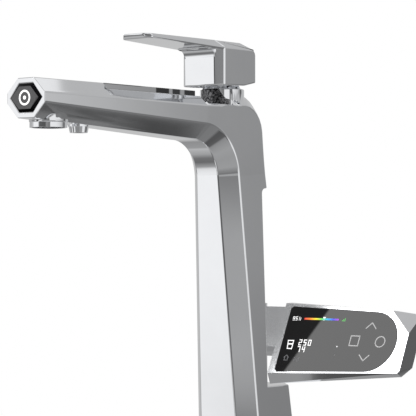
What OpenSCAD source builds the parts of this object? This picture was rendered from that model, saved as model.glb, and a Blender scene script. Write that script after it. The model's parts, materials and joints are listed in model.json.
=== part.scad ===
// Faucet of an under-counter water ionizer.
// One octagonal casting makes the column, the bend and the spout. A lever on the neck works
// a ceramic cartridge, and a touch display turns on a pin in the notch of the column.
// Millimetres, +Z up. The spout points to -Y and the user's right hand is +X.
// The origin is the centre of the column's foot on the worktop.

/* [Column] */
// Width of the column at its foot
base_w = 59.8; // [56:0.2:66]
// Depth of the column at its foot
base_d = 66; // [62:0.5:72]
// Lean of the front face towards the spout, degrees
front_lean = 4.1; // [3:0.1:5]
// Lean of the rear face towards the spout, degrees
rear_lean = 7.5; // [6:0.1:8]
// Width of the section through the bend
bend_w = 41.4; // [40:0.2:48]
// Radius of the bend under the spout
bend_in_r = 28; // [20:1:36]
// Radius of the rear top corner
bend_out_r = 26; // [18:1:28]
// Size of the corner flats at the foot
base_flat = 11.7; // [9:0.1:14]
// Size of the corner flats at the bend
bend_flat = 10.8; // [9:0.1:12]
// Wall of the casting
wall = 2.6; // [2:0.1:3]

/* [Spout] */
// Height of the flat top of the spout above the worktop
top_z = 285.3; // [280:0.5:320]
// Distance of the spout's tip from the centre of the foot
reach = 234; // [215:1:260]
// Width of the spout at its tip
tip_w = 34.4; // [33:0.2:40]
// Height of the spout at its tip
tip_h = 26.3; // [26:0.1:30]
// Size of the corner flats at the tip
tip_flat = 9.9; // [9:0.1:10.5]
// Slope of the spout's underside, degrees
under_slope = 2.9; // [2:0.1:3.5]
// Solid metal behind the tip face
tip_solid = 7; // [6:0.5:10]

/* [Spout cover] */
// Distance from the tip to the front end of the cover's recess
cover_from_tip = 65; // [58:1:75]
// Length of the recess
recess_len = 98; // [80:1:98]
// Depth of the recess
recess_depth = 4.1; // [3.4:0.1:4.4]
// Width of the raised cover
cover_w = 16.8; // [14:0.2:20]
// Gap around the cover
cover_gap = 0.3; // [0.2:0.1:0.6]

/* [Tip lens] */
// Width of the six-sided lens over its points
lens_w = 28.6; // [26:0.2:29.4]
// Height of the lens
lens_h = 19; // [16:0.2:19.6]
// Width of the flat at the top and bottom of the lens
lens_flat = 12.4; // [9:0.2:14]
// How far the lens stands out of the tip
lens_proud = 1.4; // [0.8:0.1:2.4]
// Width of the bevel around the lens
lens_bevel = 2.1; // [1.2:0.1:3]
// Depth of the lens seat in the tip
lens_seat = 3; // [2.4:0.1:3.6]
// Thickness of the lamp board
board_t = 1.2; // [1:0.1:1.6]

/* [Outlets] */
// Distance of the aerator's axis from the tip
aerator_from_tip = 21; // [20:0.5:26]
// Outer diameter of the aerator ring
aerator_d = 24.8; // [24:0.1:26]
// Diameter of the aerator's thread
aerator_thread_d = 22; // [21:0.5:22.5]
// How far the aerator ring stands below the spout
aerator_drop = 3.4; // [3:0.1:8]
// Length of the aerator's thread
aerator_thread_len = 7; // [6:0.5:8]
// Wall of the aerator ring
aerator_wall = 1.4; // [1:0.1:1.8]
// Distance between the axes of the two outlets
outlet_pitch = 29; // [26:0.5:34]
// Diameter of the small nozzle at its root
nozzle_d = 13.6; // [12:0.1:15]
// Diameter of the small nozzle at its mouth
nozzle_mouth_d = 11.9; // [10.6:0.1:12.4]
// How far the small nozzle stands below the spout
nozzle_drop = 4.1; // [3:0.1:8]
// Bore of the small nozzle
nozzle_bore_d = 7; // [5:0.1:8]
// Thickness of the outlet seals
seal_t = 1.2; // [1:0.1:2]

/* [Neck] */
// Distance of the neck's axis behind the front face, measured at the top of the spout
neck_setback = 20.5; // [20:0.1:22]
// Outer diameter of the collar that rises to the lever
collar_d = 32.8; // [32:0.1:34]
// Height of the neck above the flat top of the spout
neck_rise = 3.4; // [2.6:0.1:3.8]
// Outer diameter of the neck inside the collar
neck_d = 29.6; // [29:0.1:30.4]
// Length of the opening in front of the neck
pocket_len = 34; // [30:0.5:36]
// Depth of that opening below the flat top
pocket_depth = 9; // [7:0.1:10]
// How far the opening reaches back along the collar, from the neck's axis
pocket_back = 6.5; // [5:0.1:9]

/* [Cartridge] */
// Diameter of the cartridge
cartridge_d = 25; // [24:0.1:25.4]
// Height of the cartridge's case
cartridge_h = 26; // [26:0.5:28]
// Wall of the cartridge's case
case_wall = 1.1; // [0.9:0.1:1.3]
// Thickness of each ceramic disc
disc_t = 4; // [3.5:0.1:4.5]
// Distance from the stem's pivot down to the middle of its ball
ball_drop = 14; // [13:0.1:14.5]
// Diameter of the stem's ball
ball_d = 5; // [4.6:0.1:5.2]
// Width of the square stem
stem_w = 7; // [6.4:0.1:7.4]
// Diameter of the stem's pivot pin
stem_pin_d = 3; // [2.6:0.1:3.2]
// Angle through which the lever lifts, degrees
lift_angle = 25; // [20:1:26]

/* [Lever] */
// Width of the lever's block
lever_w = 38.2; // [38:0.1:42]
// Distance from the neck's axis to the front of the block
lever_front = 24.8; // [24.5:0.1:28]
// Distance from the neck's axis to the back of the block
lever_back = 20.5; // [20:0.1:22]
// Distance from the neck's axis to the tip of the handle
handle_reach = 96.5; // [85:0.5:115]
// Width of the handle at its tip
handle_tip_w = 27; // [22:0.2:32]
// Height of the lever from its lower edge to its top
lever_h = 32; // [31:0.1:36]
// Gap between the neck and the lower edge of the lever
lever_gap = 1.3; // [1.3:0.1:3]
// Thickness of the handle at its tip
handle_tip_t = 3.6; // [3:0.1:4.6]
// Thickness of the handle where it joins the block
handle_root_t = 6; // [5:0.1:8]
// Size of the corner flats on the block
lever_flat = 5; // [3:0.1:6]
// Wall of the hollow block
lever_wall = 2.3; // [2:0.1:2.4]

/* [Notch and display pin] */
// Distance of the notch's wall behind the centre of the foot, to the front
notch_front = 12.6; // [11:0.1:13.5]
// Height of the notch's floor
notch_floor = 74.5; // [66:0.1:75]
// Height of the notch's top
notch_top = 217.5; // [190:0.5:222]
// Radius in the notch's top corner
notch_r = 4; // [2:0.5:6]
// Distance of the pin behind the centre of the foot
pin_y = 4; // [2:0.1:4.6]
// Diameter of the pivot pin
pin_d = 8; // [7:0.1:9]
// Depth of the pin's seat below the notch
pin_seat = 14; // [12:0.5:18]
// Diameter of the arm's hub
hub_d = 21; // [19:0.2:23]
// Angle through which the display turns, degrees
swing_angle = 60; // [30:5:75]

/* [Display] */
// Backward lean of the display, degrees
display_lean = 24.7; // [20:0.1:28]
// Height of the middle of the display's front
display_z = 106.5; // [105.5:0.1:112]
// Distance of that middle in front of the centre of the foot
display_front = 8.8; // [8:0.1:9.6]
// Distance of the display's inner end from the column's centre plane
display_from = 31; // [30:0.1:34]
// Length of the display's front
display_len = 112; // [106:0.5:124]
// Height of the display's front at its inner end
display_h_in = 54.4; // [53.6:0.1:56]
// Height of the display's front at its outer end
display_h_out = 45.4; // [44.6:0.1:48]
// Thickness of the front frame
frame_t = 6; // [5.6:0.1:6.6]
// Depth of the rear shell
back_t = 12; // [10:0.1:12.4]
// Wall of the display's shells
shell_wall = 2; // [1.6:0.1:2.2]
// Distance of the glass from the inner end of the frame
glass_from = 5.4; // [5:0.1:8]
// Length of the glass
glass_len = 98.5; // [85:0.5:98.5]
// Height of the glass at its inner end
glass_h_in = 50.8; // [48:0.1:51]
// Height of the glass where its outer end starts to round
glass_h_out = 45; // [38:0.1:45]
// Thickness of the cover glass
glass_t = 1.6; // [1.2:0.1:2]
// Height of the arm along its slope
arm_h = 34; // [28:0.2:36]
// Thickness of the arm
arm_t = 15; // [13:0.1:16]

/* [Foot and fixing] */
// Thickness of the ring under the column
ring_t = 3; // [2:0.1:5]
// How far the ring stands out around the column
ring_lip = 1.6; // [1:0.1:3]
// Thickness of the seal under the ring
gasket_t = 1; // [0.6:0.1:1.5]
// Outer diameter of the shank
shank_d = 33; // [32:0.1:34]
// Bore of the shank
shank_bore_d = 28.6; // [28:0.1:29]
// Length of the shank below the worktop
shank_len = 60; // [50:1:80]
// Thickness of the worktop that the clamp is set for
deck_t = 25; // [10:1:35]
// Outer diameter of the washers under the worktop
washer_d = 56; // [50:1:64]
// Thickness of the rubber washer
rubber_t = 3; // [2:0.5:4]
// Thickness of the steel washer
steel_t = 2; // [1.5:0.1:3]
// Width of the nut over its flats
nut_af = 46; // [42:0.5:50]
// Height of the nut
nut_h = 12; // [10:0.5:14]
// Height of the brass foot block
block_h = 26; // [22:0.5:30]
// Diameter of the inlet threads
inlet_d = 9; // [8.5:0.1:9.4]
// Depth of the inlet threads
inlet_depth = 12; // [10:0.5:14]
// Distance between the inlets across the foot
inlet_pitch_x = 13; // [12.8:0.1:13.6]
// Distance between the inlets from front to back
inlet_pitch_y = 12; // [11.6:0.1:12.6]

/* [Tubes] */
// Outer diameter of the hot, cold and mixed tubes
tube_d = 6.4; // [5.6:0.2:6.6]
// Outer diameter of the ionized water tube
pure_tube_d = 6; // [5:0.2:6.4]
// Wall of the tubes
tube_wall = 0.8; // [0.6:0.1:1.2]

/* [Fits] */
// Clearance of a running fit, on the radius
run_fit = 0.05; // [0.02:0.01:0.1]
// Clearance of pieces that are screwed or pushed together
seat_fit = 0.1; // [0.05:0.01:0.2]

/* [Hidden] */
$fn = 64;

// Overlap that makes a cut run past a face
eps = 0.5;
chrome = [0.80, 0.81, 0.83];
boss_drop = 1;
floor_t = 4;
case_floor = 2;
seal_plate_t = 1.5;
tube_socket = 2.5;
nozzle_thread_len = 6;
nozzle_thread_d = nozzle_d - 3;
aerator_bore_d = aerator_thread_d - 3.4;
port_x = 3.6;
port_back = 4.4;
port_d = 4;
pivot_below = 5.5;
carrier_d = 18;
slider_w = 10;
slider_len = 8.4;
slot_low = 8.6;
slot_high = 6.2;
moving_d = 16;
disc_offset = 2.9;
dome_r = 15;
dome_open_d = 21;
lever_screw_d = 5;
plug_d = 8;
pin_bore_d = 4.4;
bush_d = 11;
bush_flange = 1.5;
bush_flange_d = 16;
cap_h = 4;
supply_x = 12;
supply_y = -22;
pure_y = -24;
cable_x = 8.6;
cable_y = 5;
cable_d = 7;
display_mid = 3.2;
panel_t = 1.4;
screw_d = 4;
screw_len = 10;
screw_back = 4.5;
bush_len = 9;
press_fit = 0.01;
tube_turn = 2;
tube_over = 2.4;
tube_gap = 0.6;
tube_step = 10;
shank_seat = 8;
inlet_points = [[inlet_pitch_x / 2, -inlet_pitch_y / 2], [-inlet_pitch_x / 2, -inlet_pitch_y / 2],
    [0, inlet_pitch_y / 2]];
socket_points = [[supply_x, supply_y, tube_d], [-supply_x, supply_y, tube_d], [0, pure_y, pure_tube_d]];
bulge_low = 6;
bulge_top = 3;
bulge_end = 5.6;
arm_top = 27.6;
brass = [0.80, 0.65, 0.30];
dark = [0.16, 0.16, 0.17];

// Points in the YZ plane are [y, z]. These helpers work on them.
function unit(v) = v / norm(v);
function lerp(a, b, t) = a + (b - a) * t;
function cross2(a, b) = a[0] * b[1] - a[1] * b[0];
function between(a, b) = acos(unit(a) * unit(b));

// Straight lines of the side view
function front_y(z) = -base_d / 2 - z * tan(front_lean);
function rear_y(z) = base_d / 2 - z * tan(rear_lean);
function under_z(y) = top_z - tip_h - (y + reach) * tan(under_slope);

foot_z = ring_t + gasket_t;
to_tip = [-cos(under_slope), sin(under_slope)];
down_front = [sin(front_lean), -cos(front_lean)];
down_rear = [sin(rear_lean), -cos(rear_lean)];

// Corner of the underside and the front face, and the bend's centre
corner_in_y = (front_y(top_z - tip_h) + reach * tan(under_slope) * tan(front_lean))
    / (1 - tan(under_slope) * tan(front_lean));
corner_in = [corner_in_y, under_z(corner_in_y)];
turn_in = between(to_tip, down_front);
bend_centre = corner_in + unit(to_tip + down_front) * bend_in_r / sin(turn_in / 2);

// Corner of the flat top and the rear face, with its own arc
corner_out = [rear_y(top_z), top_z];
turn_out = between([-1, 0], down_rear);
tangent_out = bend_out_r / tan(turn_out / 2);
arc_top = corner_out + [-tangent_out, 0];
arc_rear = corner_out + down_rear * tangent_out;
arc_centre = [arc_top[0], top_z - bend_out_r];

// Where a ray from the bend's centre leaves the outer side: flat top, arc or rear face
function hit_top(d) = bend_centre + d * (top_z - bend_centre[1]) / d[1];
function hit_rear(d) = bend_centre
    + d * cross2(corner_out - bend_centre, down_rear) / cross2(d, down_rear);
function hit_arc(d) =
    let (m = bend_centre - arc_centre, b = m * d, c = m * m - bend_out_r * bend_out_r)
    bend_centre + d * (-b + sqrt(b * b - c));
function outer_hit(a) =
    let (d = [cos(a), sin(a)])
    a > atan2(arc_top[1] - bend_centre[1], arc_top[0] - bend_centre[0]) ? hit_top(d)
    : a < atan2(arc_rear[1] - bend_centre[1], arc_rear[0] - bend_centre[0]) ? hit_rear(d)
    : hit_arc(d);

// A station is [inner point, outer point, width, corner flat]
bend_steps = 24;
function bend_angle(k) = lerp(90 - under_slope, front_lean, k / bend_steps);
function bend_station(k) =
    let (a = bend_angle(k), t = k / bend_steps)
    [bend_centre + bend_in_r * [cos(a), sin(a)], outer_hit(a), bend_w,
     lerp(bend_flat, bend_flat + (base_flat - bend_flat) * 0.1, t)];
function tip_station(y) =
    let (t = (y + reach) / (bend_station(0)[0][0] + reach))
    [[y, under_z(y)], [y, top_z], lerp(tip_w, bend_w, t), lerp(tip_flat, bend_flat, t)];
function foot_station(z) =
    let (t = z / bend_station(bend_steps)[0][1], last = bend_station(bend_steps)[3])
    [[front_y(z), z], [rear_y(z), z], lerp(base_w, bend_w, t), lerp(base_flat, last, t)];
function spout_w(y) = tip_station(y)[2];
function column_w(z) = foot_station(z)[2];

// Eight corners of a section, drawn in by inset, from the inner side round to the outer side
flat_keep = 2 - sqrt(2);
function section(s, inset) =
    let (d = unit(s[1] - s[0]), flat = s[3] - inset * flat_keep, half = s[2] / 2 - inset,
        pin = s[0] + d * inset, pout = s[1] - d * inset,
        low = pin + d * flat, high = pout - d * flat)
    [[half - flat, pin[0], pin[1]], [half, low[0], low[1]],
     [half, high[0], high[1]], [half - flat, pout[0], pout[1]],
     [flat - half, pout[0], pout[1]], [-half, high[0], high[1]],
     [-half, low[0], low[1]], [flat - half, pin[0], pin[1]]];

// Skin over a list of eight-cornered sections
module loft(sections) {
    n = len(sections);
    points = [for (s = sections) each s];
    sides = [for (k = [0 : n - 2], i = [0 : 7])
        let (a = 8 * k + i, b = 8 * k + (i + 1) % 8) each [[a, b, b + 8], [a, b + 8, a + 8]]];
    first = [for (i = [1 : 6]) [0, i + 1, i]];
    last = [for (i = [1 : 6]) [8 * (n - 1), 8 * (n - 1) + i, 8 * (n - 1) + i + 1]];
    polyhedron(points = points, faces = concat(sides, first, last), convexity = 6);
}

// Outer form and hollow of the casting
module body_form(inset, tip_y, low_z) {
    loft([section(tip_station(tip_y), inset),
        for (k = [0 : bend_steps]) section(bend_station(k), inset),
        section(foot_station(low_z), inset)]);
}

// Places worked out from the sizes above
neck_y = front_y(top_z) + neck_setback;
neck_top = top_z + neck_rise;
pivot_z = neck_top - pivot_below;
ball_z = pivot_z - ball_drop;
bore_d = cartridge_d + 2 * seat_fit;
case_top = ball_z + 7;
case_z = case_top - cartridge_h;
seat_z = case_z - seal_plate_t;
disc_z = case_z + case_floor;
slider_z = disc_z + 2 * disc_t;
outlet_z = disc_z + disc_t + 3;
nut_top = neck_top - 1.5;
aerator_y = aerator_from_tip - reach;
nozzle_y = aerator_y + outlet_pitch;
aerator_root_z = under_z(aerator_y) - boss_drop;
nozzle_root_z = under_z(nozzle_y) - boss_drop;
aerator_floor_z = aerator_root_z + aerator_thread_len + seal_t;
nozzle_floor_z = nozzle_root_z + nozzle_thread_len + seal_t;
lever_z = neck_top + lever_gap;
lever_top = lever_z + lever_h;
block_top = foot_z + block_h;
hub_z = notch_floor + bush_flange + 0.3;
hub_top = display_z + arm_top * cos(display_lean) + 2;
screw_z = lever_z + 15;
socket_top = screw_z + 5;
arm_low = arm_top - arm_h;

// Puts children in the plane of the tip, growing out of the spout from the depth y
module at_tip(y) {
    translate([0, y, top_z - tip_h / 2]) rotate([90, 0, 0]) children();
}

// Six-sided outline of the tip lens, seen from the front
module lens_outline(grow) {
    w = lens_w / 2 + grow;
    h = lens_h / 2 + grow;
    f = lens_flat / 2 + grow / 2;
    polygon([[-w, 0], [-f, h], [f, h], [w, 0], [f, -h], [-f, -h]]);
}

// Block that cuts the notch, or keeps the metal around it when grown
module notch_block(grow, below) {
    r = notch_r;
    z1 = notch_top + grow;
    rotate([90, 0, 90]) translate([-notch_front - grow, 0, -base_w]) linear_extrude(2 * base_w)
        difference() {
            translate([0, notch_floor - below]) square([base_d, z1 - notch_floor + below]);
            translate([0, z1 - r]) difference() {
                translate([-eps, 0]) square([r + eps, r + eps]);
                translate([r, 0]) circle(r);
            }
        }
}

// Recess for the cover and opening in front of the neck, as one stepped cut
module top_cuts(grow) {
    y0 = cover_from_tip - reach;
    y1 = y0 + recess_len;
    y2 = neck_y - pocket_back;
    z0 = top_z - recess_depth;
    z1 = top_z - pocket_depth;
    translate([-bend_w, y0 - grow, z0 - grow]) cube([2 * bend_w, y1 - y0 + grow, neck_rise + 20]);
    translate([-bend_w, y2 - pocket_len - grow, z1 - grow])
        cube([2 * bend_w, pocket_len + grow, pocket_depth + neck_rise + 20]);
}

// Cylinder on the neck's axis
module on_neck(z, d, h) {
    translate([0, neck_y, z]) cylinder(d = d, h = h);
}

// Solid metal that carries the cartridge
module cartridge_boss() {
    cone_h = floor_t + 3;
    translate([0, neck_y, seat_z - floor_t]) cylinder(d1 = bore_d - 1, d2 = collar_d, h = cone_h);
    on_neck(seat_z - floor_t + cone_h, collar_d, neck_top - seat_z + floor_t - cone_h);
}

// Solid metal around an outlet
module outlet_boss(y, z0, z1, d) {
    translate([0, y, z0]) cylinder(d = d, h = z1 - z0);
}
module outlet_bosses() {
    outlet_boss(aerator_y, aerator_root_z, aerator_floor_z + 2, aerator_d + 0.8);
    outlet_boss(nozzle_y, nozzle_root_z, nozzle_floor_z + 2, nozzle_d + 0.8);
}

// The two water ports under the cartridge, cut from z over the height h
module ports(z, h, d) {
    for (side = [-1, 1]) translate([side * port_x, neck_y + port_back, z - eps])
        cylinder(d = d, h = h + 2 * eps);
}

module faucet_body() {
    color(chrome) difference() {
        union() {
            difference() {
                body_form(0, -reach, foot_z);
                difference() {
                    top_cuts(0);
                    on_neck(seat_z, neck_d, neck_top - seat_z);
                    translate([0, neck_y, seat_z]) difference() {
                        cylinder(d = collar_d, h = neck_top - seat_z);
                        translate([-collar_d, -collar_d - pocket_back, 0])
                            cube([2 * collar_d, collar_d, neck_top]);
                    }
                }
            }
            difference() {
                on_neck(top_z - pocket_depth, collar_d, neck_top - top_z + pocket_depth);
                difference() {
                    top_cuts(0);
                    on_neck(seat_z, neck_d, neck_top - seat_z + 1);
                }
            }
            outlet_bosses();
        }
        difference() {
            body_form(wall, tip_solid - reach, foot_z - eps);
            notch_block(wall, pin_seat + wall);
            top_cuts(wall);
            cartridge_boss();
            outlet_bosses();
        }
        notch_block(0, 0);
        on_neck(seat_z, bore_d, neck_top - seat_z + eps);
        ports(seat_z - floor_t, floor_t, port_d);
        ports(seat_z - floor_t, tube_socket - eps, tube_d + 2 * seat_fit);
        translate([0, neck_y - collar_d / 2 - eps, outlet_z]) rotate([-90, 0, 0]) {
            cylinder(d = port_d, h = collar_d / 2);
            cylinder(d = tube_d + 2 * seat_fit, h = tube_socket + eps);
        }
        translate([0, aerator_y, aerator_root_z - eps]) {
            cylinder(d = aerator_thread_d, h = aerator_thread_len + seal_t + eps);
            cylinder(d = tube_d + 2 * seat_fit, h = aerator_thread_len + seal_t + 3);
        }
        translate([0, nozzle_y, nozzle_root_z - eps]) {
            cylinder(d = nozzle_thread_d, h = nozzle_thread_len + seal_t + eps);
            cylinder(d = pure_tube_d + 2 * seat_fit, h = nozzle_thread_len + seal_t + 3);
        }
        at_tip(lens_seat - reach) linear_extrude(lens_seat + eps) lens_outline(seat_fit);
        at_tip(lens_seat + board_t - reach) linear_extrude(board_t + eps) lens_outline(seat_fit - 2);
        at_tip(tip_solid + wall - reach) cylinder(d = 4, h = tip_solid + wall);
        translate([0, pin_y, notch_floor - pin_seat]) cylinder(d = pin_d + 2 * press_fit, h = pin_seat + eps);
        translate([0, pin_y, notch_floor - pin_seat - 2 * wall]) cylinder(d = pin_bore_d, h = 3 * wall);
    }
}

module spout_cover() {
    len = recess_len - 2 * cover_gap;
    w = cover_w / 2;
    r = 2.4;
    color(chrome) translate([0, cover_from_tip - reach + cover_gap, top_z - recess_depth])
        linear_extrude(recess_depth) polygon(concat(
            [[-w, 0], [w, 0]],
            [for (a = [0 : 15 : 90]) [w - r + r * cos(a), len - r + r * sin(a)]],
            [for (a = [90 : 15 : 180]) [r - w + r * cos(a), len - r + r * sin(a)]]));
}

module tip_lens() {
    color(dark) hull() {
        at_tip(lens_seat - reach) linear_extrude(lens_seat) lens_outline(0);
        at_tip(-reach) linear_extrude(lens_proud) lens_outline(-lens_bevel);
    }
}

module tip_light_board() {
    color("green") at_tip(lens_seat + board_t - reach) linear_extrude(board_t) lens_outline(-2);
}

module aerator_housing() {
    color(chrome) translate([0, aerator_y, aerator_root_z]) difference() {
        union() {
            translate([0, 0, -aerator_drop]) cylinder(d = aerator_d, h = aerator_drop);
            cylinder(d = aerator_thread_d - 2 * seat_fit, h = aerator_thread_len);
        }
        translate([0, 0, -aerator_drop - eps])
            cylinder(d = aerator_bore_d, h = aerator_drop + aerator_thread_len + 2 * eps);
        translate([0, 0, -aerator_drop - eps])
            cylinder(d = aerator_d - 2 * aerator_wall, h = aerator_drop - 1.5 + eps);
    }
}

module aerator_insert() {
    color(dark) translate([0, aerator_y, aerator_root_z - aerator_drop + 1.8]) difference() {
        cylinder(d = aerator_bore_d - 2 * seat_fit, h = aerator_drop + aerator_thread_len - 1.8);
        for (ring = [1 : 2], k = [0 : 6 * ring - 1]) rotate(60 * k / ring)
            translate([3.2 * ring, 0, -eps]) cylinder(d = 1.8, h = aerator_drop + aerator_thread_len);
    }
}

// Flat seal ring above an outlet
module seal_ring(y, z, d, hole_d) {
    color(dark) translate([0, y, z]) difference() {
        cylinder(d = d, h = seal_t);
        translate([0, 0, -eps]) cylinder(d = hole_d, h = seal_t + 2 * eps);
    }
}
module aerator_gasket() {
    seal_ring(aerator_y, aerator_root_z + aerator_thread_len, aerator_thread_d - 0.4, 12);
}
module nozzle_gasket() {
    seal_ring(nozzle_y, nozzle_root_z + nozzle_thread_len, nozzle_thread_d - 0.4, pure_tube_d - 1);
}

module pure_nozzle() {
    color(chrome) translate([0, nozzle_y, nozzle_root_z]) difference() {
        union() {
            translate([0, 0, -nozzle_drop]) cylinder(d1 = nozzle_mouth_d, d2 = nozzle_d, h = nozzle_drop);
            cylinder(d = nozzle_thread_d - 2 * seat_fit, h = nozzle_thread_len);
        }
        translate([0, 0, -nozzle_drop - eps])
            cylinder(d = nozzle_bore_d, h = nozzle_drop + nozzle_thread_len + 2 * eps);
    }
}

module tube_leg(a, b, r) {
    v = b - a;
    translate(a) rotate([0, acos(v[2] / norm(v)), atan2(v[1], v[0])]) cylinder(r = r, h = norm(v));
}

// Path with each corner replaced by a short curve that starts c before it
function soften(path, c) = concat([path[0]],
    [for (i = [1 : len(path) - 2])
        let (p = path[i], a = p + unit(path[i - 1] - p) * c, b = p + unit(path[i + 1] - p) * c)
        for (t = [0 : 0.5 : 1]) a * (1 - t) * (1 - t) + p * 2 * t * (1 - t) + b * t * t],
    [path[len(path) - 1]]);

// Ring of points round station i of a path, in the plane that halves the corner there
tube_sides = 12;
function leg_dir(path, i) = unit(path[i + 1] - path[i]);
function tube_ring(path, i, r) =
    let (t1 = leg_dir(path, max(i - 1, 0)), t2 = leg_dir(path, min(i, len(path) - 2)),
        n = unit(t1 + t2), u = unit(cross([1, 0, 0], t1)), v = cross(t1, u))
    [for (k = [0 : tube_sides - 1])
        let (o = r * (u * cos(360 * k / tube_sides) + v * sin(360 * k / tube_sides)))
        path[i] + o - t1 * (o * n) / (t1 * n)];

// Bent tube along a path of points
module tube(path, d) {
    c = tube_sides;
    n = len(path);
    points = [for (i = [0 : n - 1]) each concat(tube_ring(path, i, d / 2),
        tube_ring(path, i, d / 2 - tube_wall))];
    skin = [for (i = [0 : n - 2], k = [0 : c - 1])
        let (a = 2 * c * i + k, b = 2 * c * i + (k + 1) % c, up = 2 * c)
        each [[a, a + up, b + up], [a, b + up, b],
            [a + c, b + c + up, a + c + up], [a + c, b + c, b + c + up]]];
    z = 2 * c * (n - 1);
    ends = [for (k = [0 : c - 1]) let (j = (k + 1) % c)
        each [[k, j, j + c], [k, j + c, k + c],
            [z + k, z + j + c, z + j], [z + k, z + k + c, z + j + c]]];
    polyhedron(points = points, faces = concat(skin, ends), convexity = 8);
}

// From the cartridge's outlet forward through the spout to the aerator
module mixed_water_tube() {
    side = -(tube_d + pure_tube_d) / 2;
    dip = 1.4 * tube_d;
    rise = aerator_floor_z + tube_d / 2 + tube_over;
    pocket_y = neck_y - pocket_back - pocket_len;
    color("goldenrod") tube(soften([
        [0, neck_y - collar_d / 2 + tube_socket, outlet_z],
        [0, neck_y - collar_d / 2 - tube_turn, outlet_z],
        [side, pocket_y + dip, outlet_z + tube_d / 2],
        [side, pocket_y - dip, rise],
        [side, nozzle_y - dip, rise],
        [0, aerator_y, rise],
        [0, aerator_y, aerator_floor_z]], tube_turn), tube_d);
}

// From the foot up the front of the column, round the bend and out to the small nozzle
module ionized_water_tube() {
    side = pure_tube_d;
    r = bend_in_r + wall + tube_gap + pure_tube_d / 2;
    rise = nozzle_floor_z + pure_tube_d / 2 + tube_over;
    low = notch_floor - pin_seat - wall;
    half_way = (low + bend_centre[1]) / 2;
    under_bend = bend_centre[1] - bend_in_r / 2;
    off_front = wall + pure_tube_d / 2 + tube_turn;
    color("goldenrod") tube(soften(concat(
        [[0, pure_y, block_top - tube_socket],
         [0, pure_y, low],
         [0, front_y(half_way) + off_front, half_way],
         [side, front_y(under_bend) + off_front, under_bend]],
        [for (a = [0 : tube_step : 60])
            [side, bend_centre[0] + r * cos(a), bend_centre[1] + r * sin(a)]],
        [[side, bend_centre[0] - pure_tube_d, rise], [side, nozzle_y + outlet_pitch / 2, rise],
         [0, nozzle_y, rise], [0, nozzle_y, nozzle_floor_z]]), tube_turn), pure_tube_d);
}

// Hot and cold, from the foot to the cartridge's floor
module supply_tubes() {
    color("goldenrod") for (side = [-1, 1]) tube(soften([
        [side * supply_x, supply_y, block_top - tube_socket],
        [side * supply_x, supply_y, block_top + tube_d],
        [side * supply_x, neck_y + port_back, seat_z - 11 * tube_d],
        [side * port_x, neck_y + port_back, seat_z - floor_t - 2 * tube_d],
        [side * port_x, neck_y + port_back, seat_z - floor_t + tube_socket]],
        1.5 * tube_turn), tube_d);
}

module cartridge_seal() {
    color(dark) difference() {
        on_neck(seat_z, cartridge_d, seal_plate_t);
        ports(seat_z, seal_plate_t, port_d);
    }
}

module cartridge_housing() {
    inner_d = cartridge_d - 2 * case_wall;
    color("whitesmoke") difference() {
        on_neck(case_z, cartridge_d, cartridge_h);
        on_neck(disc_z, inner_d, cartridge_h);
        ports(case_z, case_floor, port_d);
        translate([0, neck_y - cartridge_d, outlet_z]) rotate([-90, 0, 0]) cylinder(d = port_d, h = cartridge_d);
    }
}

module fixed_disc() {
    color("ivory") difference() {
        on_neck(disc_z, cartridge_d - 2 * case_wall - 2 * seat_fit, disc_t);
        ports(disc_z, disc_t, port_d - 1);
    }
}

// The stem's ball carries the disc and its driver forward as the lever lifts
module moving_disc() {
    color("ivory") translate([0, neck_y + disc_offset, disc_z + disc_t]) cylinder(d = moving_d, h = disc_t);
}
module disc_slider() {
    h = ball_z + 0.5 - slider_z;
    color(dark) difference() {
        translate([-slider_w / 2, neck_y - slider_len / 2, slider_z]) cube([slider_w, slider_len, h]);
        on_neck(slider_z + 1, ball_d + 0.4, h);
    }
}

module cartridge_carrier() {
    flange_z = ball_z + 3;
    flange_r = cartridge_d / 2 - case_wall - run_fit;
    guide_z = slider_z + 0.3;
    color("dimgray") difference() {
        union() {
            on_neck(flange_z, 2 * flange_r, case_top - 0.1 - flange_z);
            on_neck(flange_z, carrier_d, pivot_z + 4 - flange_z);
            for (side = [0, 180]) translate([0, neck_y, guide_z]) rotate(side) intersection() {
                cylinder(r = flange_r, h = flange_z - guide_z + eps);
                translate([slider_w / 2 + run_fit, -3, 0]) cube([cartridge_d, 6, cartridge_h]);
            }
        }
        translate([-stem_w / 2 - run_fit, neck_y - slot_low, guide_z - eps])
            cube([stem_w + 2 * run_fit, slot_low + 3, case_top + 1 - guide_z]);
        translate([-stem_w / 2 - run_fit, neck_y - slot_high, guide_z - eps])
            cube([stem_w + 2 * run_fit, 2 * slot_high, pivot_z - guide_z + 6]);
        translate([-carrier_d, neck_y, pivot_z]) rotate([0, 90, 0]) cylinder(d = stem_pin_d, h = 2 * carrier_d);
    }
}

module stem_pin() {
    color("silver") translate([0.3 - carrier_d / 2, neck_y, pivot_z]) rotate([0, 90, 0])
        cylinder(d = stem_pin_d, h = carrier_d - 0.6);
}

module cartridge_stem() {
    w = stem_w;
    color("silver") difference() {
        union() {
            translate([-w / 2, neck_y - w / 2, pivot_z - 3.4]) cube([w, w, socket_top - pivot_z + 3.2]);
            on_neck(ball_z, 3.6, pivot_z - ball_z - 3);
            translate([0, neck_y, ball_z]) sphere(d = ball_d, $fn = 32);
        }
        translate([-w, neck_y, pivot_z]) rotate([0, 90, 0]) cylinder(d = stem_pin_d + 2 * run_fit, h = 2 * w);
    }
}

module cartridge_nut() {
    color(brass) difference() {
        on_neck(case_top, cartridge_d, nut_top - case_top);
        on_neck(case_top - eps, carrier_d + 2 * run_fit, nut_top - case_top + 2 * eps);
        for (a = [45 : 90 : 315]) translate([0, neck_y, nut_top]) rotate(a)
            translate([carrier_d / 2, -1.25, -2]) cube([cartridge_d, 2.5, 4]);
    }
}

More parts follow.
